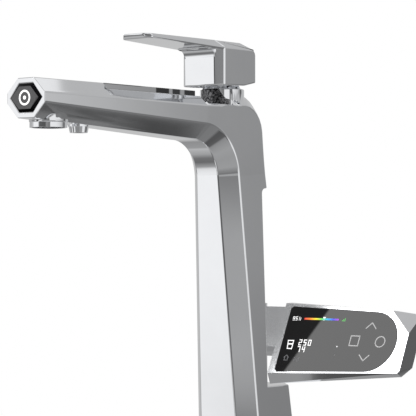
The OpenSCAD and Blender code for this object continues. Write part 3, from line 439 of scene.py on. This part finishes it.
leverSettings = {  # millimetres, in the frame; a line's points are Y and Z
    "half": 19.1, "flat": 5.0, "front": -57.75, "back": -12.45, "foot": 290.0, "top": 322.0,
    "backLine": [(-29.95, 290.8), (-13.95, 294.2), (-12.45, 298.0), (-15.45, 312.0), (-19.45, 317.4),
                 (-28.95, 322.0)],
    "blockMiddle": (0, -33, 306), "slabMiddle": (0, -90, 320),
    "tip": -129.45, "tipHalf": 13.5, "tipCorner": 4.9, "tipUnder": 318.4, "tipTop": 1.4, "tipSlant": 2.6,
    "rootHalf": 18.6, "rootUnder": 316.0, "rootAt": -49.75, "tipChamfer": 1.6, "rootChamfer": 4.6,
    "fillet": 6.5, "filletSteps": 13, "wall": 2.3, "hollowTop": 299.4, "hollowCorner": 2.0,
    "plugRadius": 4.05, "plugAt": 305, "plugFrom": -20.5, "plugSides": 40,
    "slot": "polished_metal", "finish": "chromePlate", "round": 0.9 * mm, "steps": 4, "clamp": False,
    "fine": 0.0, "plainBox": ((-0.0172, -0.056, 0.2895), (0.0172, -0.015, 0.31))}


def solidFrom(name, planes):  # each plane: outward normal and its distance along that normal
    planes = np.array(planes, float)
    planes /= np.linalg.norm(planes[:, :3], axis=1, keepdims=True)
    n, near = len(planes), 1e-4
    trios = np.array([(i, j, k) for i in range(n) for j in range(i + 1, n) for k in range(j + 1, n)])
    normals, reaches = planes[trios][..., :3], planes[trios][..., 3]
    kept = np.abs(np.linalg.det(normals)) > 1e-5
    corners = np.linalg.solve(normals[kept], reaches[kept][..., None])[..., 0]  # where three planes meet
    corners = corners[(corners @ planes[:, :3].T <= planes[:, 3] + 1e-6).all(1)]
    corners = np.unique(corners.round(6), axis=0)
    faces = []
    for normal, reach in zip(planes[:, :3], planes[:, 3]):
        on = np.where(np.abs(corners @ normal - reach) < near)[0]
        if len(on) < 3:
            continue
        across = np.cross(normal, [0.3, 0.5, 0.81])
        across /= np.linalg.norm(across)
        middle = corners[on] - corners[on].mean(0)
        turn = np.arctan2(middle @ np.cross(normal, across), middle @ across)  # angle round the face's middle
        faces.append(tuple(int(i) for i in on[np.argsort(turn)]))
    mesh = bpy.data.meshes.new(name)
    mesh.from_pydata((corners * mm).tolist(), [], faces)
    mesh.update()
    return mesh


def planeThrough(a, b, c, inside):
    a, b, c, inside = (np.array(p, float) for p in (a, b, c, inside))
    normal = np.cross(b - a, c - a)
    if normal @ (inside - a) > 0:
        normal = -normal
    return (*normal, normal @ a)


def combined(first, second, operation):
    objects = [bpy.data.objects.new("work", mesh) for mesh in (first, second)]
    for item in objects:
        bpy.context.scene.collection.objects.link(item)
    cut = objects[0].modifiers.new("cut", "BOOLEAN")
    cut.operation, cut.object, cut.solver = operation, objects[1], "EXACT"
    bpy.context.view_layer.update()
    result = bpy.data.meshes.new_from_object(objects[0].evaluated_get(bpy.context.evaluated_depsgraph_get()))
    for item in objects:
        bpy.data.objects.remove(item)
    return result


def prismFrom(outline, low, high, lift):
    n = len(outline)  # a closed outline carried from low to high, seen along the axis that lift builds
    points = [lift(a, b, low) for a, b in outline] + [lift(a, b, high) for a, b in outline]
    faces = [tuple(range(n))[::-1], tuple(range(n, 2 * n))]
    faces += [(i, (i + 1) % n, (i + 1) % n + n, i + n) for i in range(n)]
    mesh = bpy.data.meshes.new("prism")
    mesh.from_pydata((np.array(points) * mm).tolist(), [], faces)
    work = bmesh.new()
    work.from_mesh(mesh)
    bmesh.ops.recalc_face_normals(work, faces=work.faces)
    work.to_mesh(mesh)
    work.free()
    return mesh


def leverBlock():
    its = leverSettings
    half, flat, front, back, top = (its[name] for name in ("half", "flat", "front", "back", "top"))
    line = [(front, its["foot"])] + its["backLine"] + [(front, top)]
    planes = [(1, 0, 0, half), (-1, 0, 0, half)]
    for (ya, za), (yb, zb) in zip(line, line[1:] + line[:1]):
        planes.append(planeThrough((0, ya, za), (0, yb, zb), (9, ya, za), its["blockMiddle"]))
    for side in (1, -1):
        planes += [(side, -1, 0, half - flat - front), (side, 1, 0, half - flat + back),
                   (side, 0, 1, half - flat + top)]
    return solidFrom("block", planes)


def leverSlab():
    its = leverSettings
    centre, top, end, under = its["slabMiddle"], its["top"], its["tip"], its["tipUnder"]
    tip, root = end + its["tipCorner"], its["rootAt"]
    planes = [(0, 0, 1, top), (0, -1, 0, -end), (0, 1, 0, root),
              planeThrough((0, tip, under), (9, tip, under), (0, root, its["rootUnder"]), centre),
              planeThrough((0, end, top - its["tipTop"]), (9, end, top - its["tipTop"]),
                           (0, end + its["tipSlant"], under), centre)]
    for side in (1, -1):
        wide, narrow = side * its["rootHalf"], side * its["tipHalf"]
        planes.append(planeThrough((narrow, tip, top - 4), (wide, root, top - 4), (narrow, tip, top), centre))
        planes.append((side, -1, 0, its["tipHalf"] - tip))
        edge = its["tipChamfer"]
        planes.append(planeThrough((narrow, tip, top - edge), (narrow - side * edge, tip, top),
                                   (wide, root, top - its["rootChamfer"]), centre))
    return solidFrom("slab", planes)


def buildLever():
    its = leverSettings
    shape = combined(leverBlock(), leverSlab(), "UNION")
    half, front, r, under = its["half"] - its["flat"], its["front"], its["fillet"], its["rootUnder"] + 0.1
    arc = np.radians(np.linspace(0, 90, its["filletSteps"]))  # block's front to handle's underside
    outline = [(front + 1, under + 1), (front + 1, under - r)]
    outline += [(front - r + r * math.cos(a), under - r + r * math.sin(a)) for a in arc]
    outline.append((front - r, under + 1))
    shape = combined(shape, prismFrom(outline, -half, half, lambda a, b, x: (x, a, b)), "UNION")
    wall, c = its["wall"], its["hollowCorner"]
    x, y0, y1 = its["half"] - wall, front + wall, its["back"] - wall - 1
    hollow = [(-x + c, y0), (x - c, y0), (x, y0 + c), (x, y1 - c),
              (x - c, y1), (-x + c, y1), (-x, y1 - c), (-x, y0 + c)]
    hollow = prismFrom(hollow, its["foot"] - 3, its["hollowTop"], lambda a, b, z: (a, b, z))
    shape = combined(shape, hollow, "DIFFERENCE")
    r, at = its["plugRadius"], its["plugAt"]
    turns = np.linspace(0, 2 * np.pi, its["plugSides"], endpoint=False)
    hole = prismFrom([(r * math.cos(a), at + r * math.sin(a)) for a in turns], its["plugFrom"], 0,
                     lambda a, b, y: (a, y, b))
    return combined(shape, hole, "DIFFERENCE")


def buildLens():
    its = lensSettings

    def hexagon(grow, y):
        w, h, f = its["half"] + grow, its["tall"] + grow, its["flat"] + grow / 2
        return [(a, y, b + its["middle"]) for a, b in ((-w, 0), (-f, h), (f, h), (w, 0), (f, -h), (-f, -h))]
    planes = [(0, 1, 0, its["back"]), (0, -1, 0, -its["front"])]
    wide, narrow, deep = hexagon(0, its["edge"]), hexagon(-its["cut"], its["front"]), hexagon(0, its["back"])
    centre = (0, its["edge"], its["middle"])
    for i in range(6):  # a straight side, then the leaning one before it
        planes += [planeThrough(wide[i], wide[i - 1], deep[i], centre),
                   planeThrough(wide[i], wide[i - 1], narrow[i], centre)]
    return solidFrom("lens", planes)


dressedCopy("lever_handle", leverSettings, buildLever())
dressedCopy("tip_lens", lensSettings, buildLens())
inner = {
    "circuit_board boardGreen": ["tip_light_board"],
    "white_plastic whitePlastic": ["aerator_insert", "cartridge_housing", "disc_slider"],
    "white_plastic greyPlastic": ["cartridge_carrier"],
    "ceramic groundCeramic": ["fixed_disc", "moving_disc"],
    "seal_rubber blackRubber": ["aerator_gasket", "nozzle_gasket", "cartridge_seal", "base_gasket",
                                "deck_washer", "cable_grommet"],
    "tube_plastic tubePlastic": ["mixed_water_tube", "ionized_water_tube", "supply_tubes"],
    "bare_brass turnedBrass": ["cartridge_stem", "cartridge_nut", "foot_block", "shank"],
    "steel turnedSteel": ["stem_pin", "lever_screw", "clamp_plate"]}
for kind, nodeNames in inner.items():
    slotName, finishName = kind.split()
    for nodeName in nodeNames:
        dressedCopy(nodeName, {"slot": slotName, "finish": finishName, "round": 0, "mirrored": False})
print("stage: dressed solids,", len(dressed))

markSettings = {  # millimetres on the display's front; figures: numbers, corner, step, height, line
    "low": 0.01, "high": 0.06, "line": 0.75, "arrow": (4.1, 2.1), "square": 3.7, "circle": 3.9,
    "upKey": (79.7, 15.0), "downKey": (79.6, -9.4), "squareKey": (68.3, 3.1), "roundKey": (90.1, 3.1),
    "level": ((9, 5), (9.8, 17.4), 2.5, 2.6, 0.42),
    "figures": [((2, 5, 0), (21.0, -1.6), 4.1, 3.9, 0.62), ((7, 4), (21.0, -6.8), 4.1, 3.9, 0.62)],
    "dimFigures": ((3, 8), (20.0, -14.0), 3.0, 2.6, 0.4),
    "unit": [[(15.4, 17.4), (15.4, 20.0)], [(16.6, 17.4), (16.6, 19.2)]],
    "tumbler": [(10.8, 1.5), (11.7, -4.6), (15.6, -4.8), (15.6, 1.6)], "water": ((11.4, -1.6), (15.6, -0.6)),
    "roof": [(10.9, -11.6), (12.9, -9.6), (14.9, -11.6)],
    "walls": [(11.6, -11.4), (11.6, -13.6), (14.2, -13.6), (14.2, -11.4)],
    "dot": (54.6, -1.7), "dimDot": (54.5, -8.1), "dotRadius": 0.5, "divider": ((51.6, 17.5), (51.9, 19.9)),
    "scale": ((19.9, 18.0), (50.2, 19.4)), "pointer": [(36.1, 20.4), (38.5, 20.4), (37.3, 17.4)],
    "bars": [((53.2, 17.5), (53.8, 18.4)), ((54.3, 17.5), (54.9, 19.2)), ((55.4, 17.5), (56.0, 20.0))],
    "rainbow": [(0.0, (0.55, 0.02, 0.02)), (0.18, (0.8, 0.2, 0.01)), (0.34, (0.75, 0.6, 0.02)),
                (0.5, (0.1, 0.5, 0.08)), (0.68, (0.03, 0.35, 0.6)), (0.84, (0.05, 0.08, 0.6)),
                (1.0, (0.3, 0.04, 0.5))]}


def onLens(points, out):
    points = np.asarray(points, float)
    return mm * np.stack([points[:, 0], np.full(len(points), lensSettings["front"] - out),
                          points[:, 1] + lensSettings["middle"]], 1)


def plateFrom(outline, lay=onDisplay):
    outline = np.asarray(outline, float)
    n = len(outline)
    turn = np.roll(outline, -1, 0)
    if (outline[:, 0] * turn[:, 1] - turn[:, 0] * outline[:, 1]).sum() < 0:
        outline = outline[::-1]
    points = np.vstack([lay(outline, markSettings["low"]), lay(outline, markSettings["high"])])
    low, high = np.arange(n), np.arange(n) + n
    faces = [tuple(low[::-1]), tuple(high)]
    faces += [tuple(q) for q in np.stack([low, np.roll(low, -1), np.roll(high, -1), high], 1)]
    return points, faces


def stroke(path, width, closed=False):
    path = np.asarray(path, float)
    if closed:
        path = np.vstack([path, path[:1]])
    plates = []
    for start, end in zip(path[:-1], path[1:]):
        way = (end - start) / np.linalg.norm(end - start)
        side = np.array([-way[1], way[0]]) * width / 2
        start, end = start - way * width * 0.45, end + way * width * 0.45
        plates.append(plateFrom([start - side, end - side, end + side, start + side]))
    return plates


def circlePoints(count):
    turns = np.linspace(0, 2 * np.pi, count, endpoint=False)
    return np.stack([np.cos(turns), np.sin(turns)], 1)


def ring(centre, radius, width, count=48, lay=onDisplay):
    circle = circlePoints(count)
    outer, inside = centre + circle * (radius + width / 2), centre + circle * (radius - width / 2)
    points = np.vstack([lay(edge, markSettings[level])
                        for level in ("low", "high") for edge in (outer, inside)])
    i = np.arange(count)
    j = np.roll(i, -1)
    quads = np.vstack([np.stack([i + 2 * count, j + 2 * count, j + 3 * count, i + 3 * count], 1),
                       np.stack([i, i + count, j + count, j], 1),
                       np.stack([i, j, j + 2 * count, i + 2 * count], 1),
                       np.stack([i + count, i + 3 * count, j + 3 * count, j + count], 1)])
    return [(points, [tuple(q) for q in quads])]


def disc(centre, radius, count=24, lay=onDisplay):
    return [plateFrom(np.asarray(centre) + radius * circlePoints(count), lay)]


def box(low, high):
    return [plateFrom([low, (high[0], low[1]), high, (low[0], high[1])])]


def digit(number, corner, height, width):  # seven bars, as on a plain number display
    bars = {0: "abcdef", 2: "abged", 3: "abgcd", 4: "fgbc", 5: "afgcd", 7: "abc", 8: "abcdefg", 9: "abcdfg"}
    x, y = corner
    w, h = height * 0.5, height / 2
    ends = {"a": ((0, 2 * h), (w, 2 * h)), "b": ((w, h), (w, 2 * h)), "c": ((w, 0), (w, h)),
            "d": ((0, 0), (w, 0)), "e": ((0, 0), (0, h)), "f": ((0, h), (0, 2 * h)), "g": ((0, h), (w, h))}
    plates = []
    for bar in bars[number]:
        (ax, ay), (bx, by) = ends[bar]
        plates += stroke([(x + ax, y + ay), (x + bx, y + by)], width)
    return plates


def figures(numbers, corner, step, height, width):
    return [plate for place, number in enumerate(numbers)
            for plate in digit(number, (corner[0] + step * place, corner[1]), height, width)]


def addMarks(name, plates, finish, body="display"):
    points, faces, start = [], [], 0
    for platePoints, plateFaces in plates:
        points.append(platePoints)
        faces += [tuple(int(v) + start for v in face) for face in plateFaces]
        start += len(platePoints)
    mesh = bpy.data.meshes.new(name)
    mesh.from_pydata(np.vstack(points).tolist(), [], faces)
    mesh.update()
    addPiece(name, mesh, body, finish).visible_glossy = False


def inkFinish(name, colour, glow):
    shading = newFinish(name)
    grain = shading.noise(1500, 2, 0.5)
    tone = shading.blend(grain.rise(0.3, 0.7), colour, tuple(c * 0.86 for c in colour))
    surface(shading, colour=tone, rough=0.3 + grain * 0.1, metal=0.0, glow=tone, glowStrength=glow)


def rainbowFinish():
    shading = newFinish("rainbowInk")
    start, end = (displayFront["origin"][0] + corner[0] for corner in markSettings["scale"])
    share = (shading.split(shading.place())[0] - start * mm) / ((end - start) * mm)
    ramp = shading.add("ShaderNodeValToRGB", {"stops": markSettings["rainbow"]}, {"Fac": share})
    surface(shading, colour=ramp, rough=0.3, metal=0.0, glow=ramp, glowStrength=0.75)


inkFinish("whiteInk", (0.8, 0.8, 0.8), 0.9)
inkFinish("keyInk", (0.5, 0.5, 0.5), 0.35)
inkFinish("dimInk", (0.16, 0.16, 0.17), 0.15)
inkFinish("greenInk", (0.12, 0.5, 0.12), 0.6)
rainbowFinish()


def touchKeys():
    its = markSettings
    plates, (w, h) = [], its["arrow"]
    for key, way in (("upKey", 1), ("downKey", -1)):
        x, y = its[key]
        plates += stroke([(x - w, y - h * way), (x, y + h * way), (x + w, y - h * way)], its["line"])
    (x, y), s = its["squareKey"], its["square"]
    plates += stroke([(x - s, y - s), (x + s, y - s), (x + s, y + s), (x - s, y + s)], its["line"], True)
    return plates + ring(np.array(its["roundKey"]), its["circle"], its["line"])


def litMarks():
    its = markSettings
    plates = figures(*its["level"]) + stroke(its["unit"][0], 0.4) + stroke(its["unit"][1], 0.4)
    plates += stroke(its["tumbler"], 0.7, True) + box(*its["water"])
    for row in its["figures"]:
        plates += figures(*row)
    return plates + disc(its["dot"], its["dotRadius"])


def dimMarks():
    its = markSettings
    plates = box(*its["divider"]) + disc(its["dimDot"], its["dotRadius"])
    return plates + stroke(its["roof"], 0.5) + stroke(its["walls"], 0.5) + figures(*its["dimFigures"])


addMarks("touchKeys", touchKeys(), "keyInk")
addMarks("screenFigures", litMarks(), "whiteInk")
addMarks("scaleBar", box(*markSettings["scale"]), "rainbowInk")
addMarks("scalePointer", [plateFrom(markSettings["pointer"])], "whiteInk")
addMarks("screenDim", dimMarks(), "dimInk")
addMarks("levelBars", [plate for bar in markSettings["bars"] for plate in box(*bar)], "greenInk")
addMarks("lensLight", ring((0, 0), 4.4, 1.3, lay=onLens) + disc((0, 0), 1.3, lay=onLens), "whiteInk",
         "casting")
print("stage: marks on the glass and the lens")

studioSettings = {  # the room that the chrome mirrors: levels by the direction's X, Y and Z
    "even": 0.78,  # what matt surfaces get from all round
    "round": [  # level along the horizon by compass angle from +X towards +Y, in degrees
        (-180, 0.45), (-155, 0.6), (-145, 1.0), (-113, 1.0), (-104, 0.12), (-66, 0.1), (-58, 0.3),
        (-42, 0.21), (-37, 0.21), (-34, 0.93), (0, 0.91), (23, 0.8), (43.5, 0.57), (46.5, 0.45),
        (48.8, 0.35), (52, 0.31), (57, 0.3), (60, 0.1), (68, 0.1), (74, 0.5), (100, 0.56), (131, 0.56),
        (145, 0.5), (180, 0.45)],
    "dip": {"down": (-0.06, 0.04), "x": (0.4, 0.6), "by": 0.07},  # a fall below the horizon on the right
    "watchedWay": (0.776, -0.63, -0.08), "watchedEdge": (0.9955, 0.998),
    "watched": [  # level where the column's corner faces look, by the depth below the horizon
        (0.01, 0.22), (0.02, 0.245), (0.03, 0.3), (0.045, 0.394), (0.0745, 0.394), (0.1037, 0.412),
        (0.118, 0.378), (0.128, 0.316), (0.14, 0.22)],
    "underLeft": [  # level below the horizon on the left, by the direction's Y
        (-0.77, 0.82), (-0.758, 0.86), (-0.745, 0.95), (-0.67, 0.8), (-0.62, 0.37), (-0.49, 0.165),
        (-0.34, 0.19), (-0.16, 0.4), (0.02, 0.48), (0.11, 0.54), (0.2, 0.36), (0.58, 0.31),
        (0.68, 0.48), (0.76, 0.53)],
    "underRight": [  # the same on the right
        (-0.64, 0.27), (-0.6, 0.25), (-0.56, 0.37), (-0.42, 0.35), (-0.24, 0.38), (-0.03, 0.32), (0.05, 0.28),
        (0.1, 0.12), (0.22, 0.1), (0.3, 0.1), (0.38, 0.22), (0.62, 0.21), (0.69, 0.05), (0.705, 0.05)],
    "underBack": [  # level in the strip below the horizon behind the object
        (0.66, 0.21), (0.688, 0.21), (0.697, 0.105), (0.703, 0.068), (0.712, 0.075), (0.7163, 0.11),
        (0.7203, 0.165), (0.7243, 0.205)],
    "backFrom": (0.6405, 0.6415), "wedgeFrom": 0.69,
    "wedge": {"lean": 0.076, "x": (0.1105, 0.1111), "level": 0.047},  # the dark wedge under the spout
    "rim": {"lean": 0.13, "x": (0.1131, 0.1137), "level": 0.19},  # and the paler line along it
    "shade": {  # what the display's underside looks at
        "x": ((-0.5515, -0.5495), (-0.35, -0.3)), "y": (-0.45, -0.4), "level": 0.088},
    "glow": {"x": (0.78, 0.86), "y": (-0.1, 0.0), "level": 0.9},
    "sides": (-0.05, 0.06), "top": 0.51, "topEdge": 0.6985, "topBlur": 0.0006, "topBright": 0.9,
    "board": {"level": 3.7, "edgeWay": (0.665, -0.746, -0.034), "edge": (0.0, 0.0012),
              "middle": (-0.62, -0.53, 0.58), "size": (0.975, 0.985)},
    "veil": {"way": (-0.59, -0.55, 0.59), "size": (0.8, 0.95), "level": 0.33},
    "patch": {"from": 0.75, "lean": 0.167, "band": ((-0.0594, -0.0592), (-0.0568, -0.0565)), "by": 0.7,
              "left": (0.75, 0.7932, 0.7938), "right": (0.545, 0.7264, 0.727)},  # white patch by the cover
    "spots": [((-0.217, -0.37, 0.9075), (0.95, 0.97), 0.54),  # what the display's facets look at
              ((0.85, -0.277, 0.46), (0.965, 0.98), 0.12)],
    "aboveFrom": (0.2, 0.42), "underFrom": (0.12, 0.22)}


def facing(shading, way, direction):
    length = math.sqrt(sum(c * c for c in direction))
    return shading.add("ShaderNodeVectorMath", {"operation": "DOT_PRODUCT"},
                       {0: way, 1: tuple(c / length for c in direction)}, output=1)


def levelAround(shading, way, x, y, z):  # near the horizon
    its = studioSettings
    compass = shading.maths("ARCTAN2", y, x) * math.degrees(1)
    around = shading.ramp(compass, -180, 180, its["round"])
    around = around - (-z).rise(*its["dip"]["down"]) * its["dip"]["by"] * x.rise(*its["dip"]["x"])
    watching = facing(shading, way, its["watchedWay"]).rise(*its["watchedEdge"])
    return around.toward(shading.ramp(-z, 0, 0.2, its["watched"]), watching)


def levelUnder(shading, x, y):
    its = studioSettings
    left = shading.ramp(y, -0.8, 0.8, its["underLeft"])
    right = shading.ramp(y, -0.8, 0.8, its["underRight"])
    strip = shading.ramp(y, 0.6, 0.8, its["underBack"])
    dark, rim = ((x + (y - its["wedgeFrom"]) * its[part]["lean"]).rise(*its[part]["x"])
                 for part in ("wedge", "rim"))
    strip = strip.toward(its["wedge"]["level"], dark) + rim * (its["rim"]["level"] - its["wedge"]["level"])
    right = right.toward(strip, y.rise(*its["backFrom"]))
    left = left.toward(its["shade"]["level"], x.within(*its["shade"]["x"]) * (1 - y.rise(*its["shade"]["y"])))
    under = left.toward(right, x.rise(*its["sides"]))
    return under.toward(its["glow"]["level"], x.rise(*its["glow"]["x"]) * y.rise(*its["glow"]["y"]))


def levelAbove(shading, way, x, y, z):
    its = studioSettings
    veil, board, patch, top, blur = (its[name] for name in ("veil", "board", "patch", "top", "topBlur"))
    above = top + z.rise(its["topEdge"] - blur, its["topEdge"] + blur) * (its["topBright"] - top)
    above = above + facing(shading, way, veil["way"]).rise(*veil["size"]) * (veil["level"] - top)
    above = above + (facing(shading, way, board["edgeWay"]).rise(*board["edge"])
                     * facing(shading, way, board["middle"]).rise(*board["size"]) * board["level"])
    band = (x - (y - patch["from"]) * patch["lean"]).within(*patch["band"])
    left, right = patch["left"], patch["right"]
    ends = (y - x * left[0]).rise(*left[1:]) * (1 - (y + x * right[0]).rise(*right[1:]))
    above = above + band * ends * patch["by"]
    for direction, size, level in its["spots"]:
        above = above.toward(level, facing(shading, way, direction).rise(*size))
    return above


def buildWorld():
    world = bpy.data.worlds.new("studio")
    bpy.context.scene.world = world
    world.use_nodes = True
    shading = Shading(world.node_tree)
    way = shading.add("ShaderNodeTexCoord", output=0)
    x, y, z = shading.split(way)
    level = levelAround(shading, way, x, y, z)
    level = level.toward(levelAbove(shading, way, x, y, z), z.rise(*studioSettings["aboveFrom"]))
    level = level.toward(levelUnder(shading, x, y), (-z).rise(*studioSettings["underFrom"]))
    clear = shading.ray("Is Camera Ray").larger(shading.ray("Is Transmission Ray"))
    glossy = shading.ray("Is Glossy Ray")
    strength = clear + (1 - clear) * (glossy * level + (1 - glossy) * studioSettings["even"])
    shader = shading.add("ShaderNodeBackground", None, {"Color": (1, 1, 1, 1), "Strength": strength})
    shading.add("ShaderNodeOutputWorld", None, {"Surface": shader})


floorSettings = {"size": 1.6, "z": -0.0605, "corners": 96, "fade": (0.45, 1.4)}  # metres


def buildFloor():
    its = floorSettings
    flat = circlePoints(its["corners"]) * its["size"]
    points = np.column_stack([flat, np.full(its["corners"], its["z"])])  # a circle of points
    mesh = bpy.data.meshes.new("studioFloor")
    mesh.from_pydata(points.tolist(), [], [tuple(range(its["corners"]))])
    floor = bpy.data.objects.new("studioFloor", mesh)
    bpy.context.scene.collection.objects.link(floor)
    shading = newFinish("floorPaint")
    distance = shading.add("ShaderNodeVectorMath", {"operation": "LENGTH"}, {0: shading.place()}, output=1)
    mirrored = shading.ray("Is Glossy Ray").larger(shading.ray("Is Transmission Ray"))
    grain = shading.noise(60, 2)
    paint = shading.add("ShaderNodeBsdfDiffuse", None,
                        {"Color": shading.blend(grain.rise(0.3, 0.7), (0.88, 0.88, 0.88), (0.9, 0.9, 0.9))})
    white = shading.add("ShaderNodeEmission", None, {"Color": (1, 1, 1, 1), "Strength": 1.0})
    clear = shading.add("ShaderNodeBsdfTransparent")
    pale = shading.add("ShaderNodeMixShader", None, {0: distance.rise(*its["fade"]), 1: paint, 2: white})
    mixed = shading.add("ShaderNodeMixShader", None, {0: mirrored, 1: pale, 2: clear})
    shading.add("ShaderNodeOutputMaterial", None, {"Surface": mixed})
    mesh.materials.append(finishes["floorPaint"])


lampSettings = {  # metres and watts
    "place": (-1.3, -1.5, 1.9), "target": (0, -0.05, 0.15), "size": 0.9, "power": 16.0}


def addLamp(name, settings):
    lamp = bpy.data.lights.new(name, "AREA")
    lamp.shape, lamp.size, lamp.energy = "DISK", settings["size"], settings["power"]
    holder = bpy.data.objects.new(name, lamp)
    bpy.context.scene.collection.objects.link(holder)
    holder.location = settings["place"]
    holder.visible_glossy = False
    aim = np.array(settings["target"]) - np.array(settings["place"])
    lean, turn = math.acos(-aim[2] / np.linalg.norm(aim)), math.atan2(aim[1], aim[0]) - math.pi / 2
    holder.rotation_euler = (lean, 0, turn)


cameraSettings = {"lens": 177.4, "sensor": 36, "clip": (0.05, 50), "place": (0.9328, -1.1839, 0.180),
                  "turn": 39.4, "pitch": 0.894}  # millimetres, metres and degrees


def buildCamera():
    its = cameraSettings
    camera = bpy.data.cameras.new("photoCamera")
    camera.lens, camera.sensor_width = its["lens"], its["sensor"]
    camera.clip_start, camera.clip_end = its["clip"]
    holder = bpy.data.objects.new("photoCamera", camera)
    bpy.context.scene.collection.objects.link(holder)
    holder.location = its["place"]
    holder.rotation_euler = (math.radians(90 + its["pitch"]), 0, math.radians(its["turn"]))
    bpy.context.scene.camera = holder


buildWorld()
buildFloor()
addLamp("keyLamp", lampSettings)
buildCamera()
bpy.context.scene.view_settings.view_transform = "Standard"
print("stage: studio and camera")
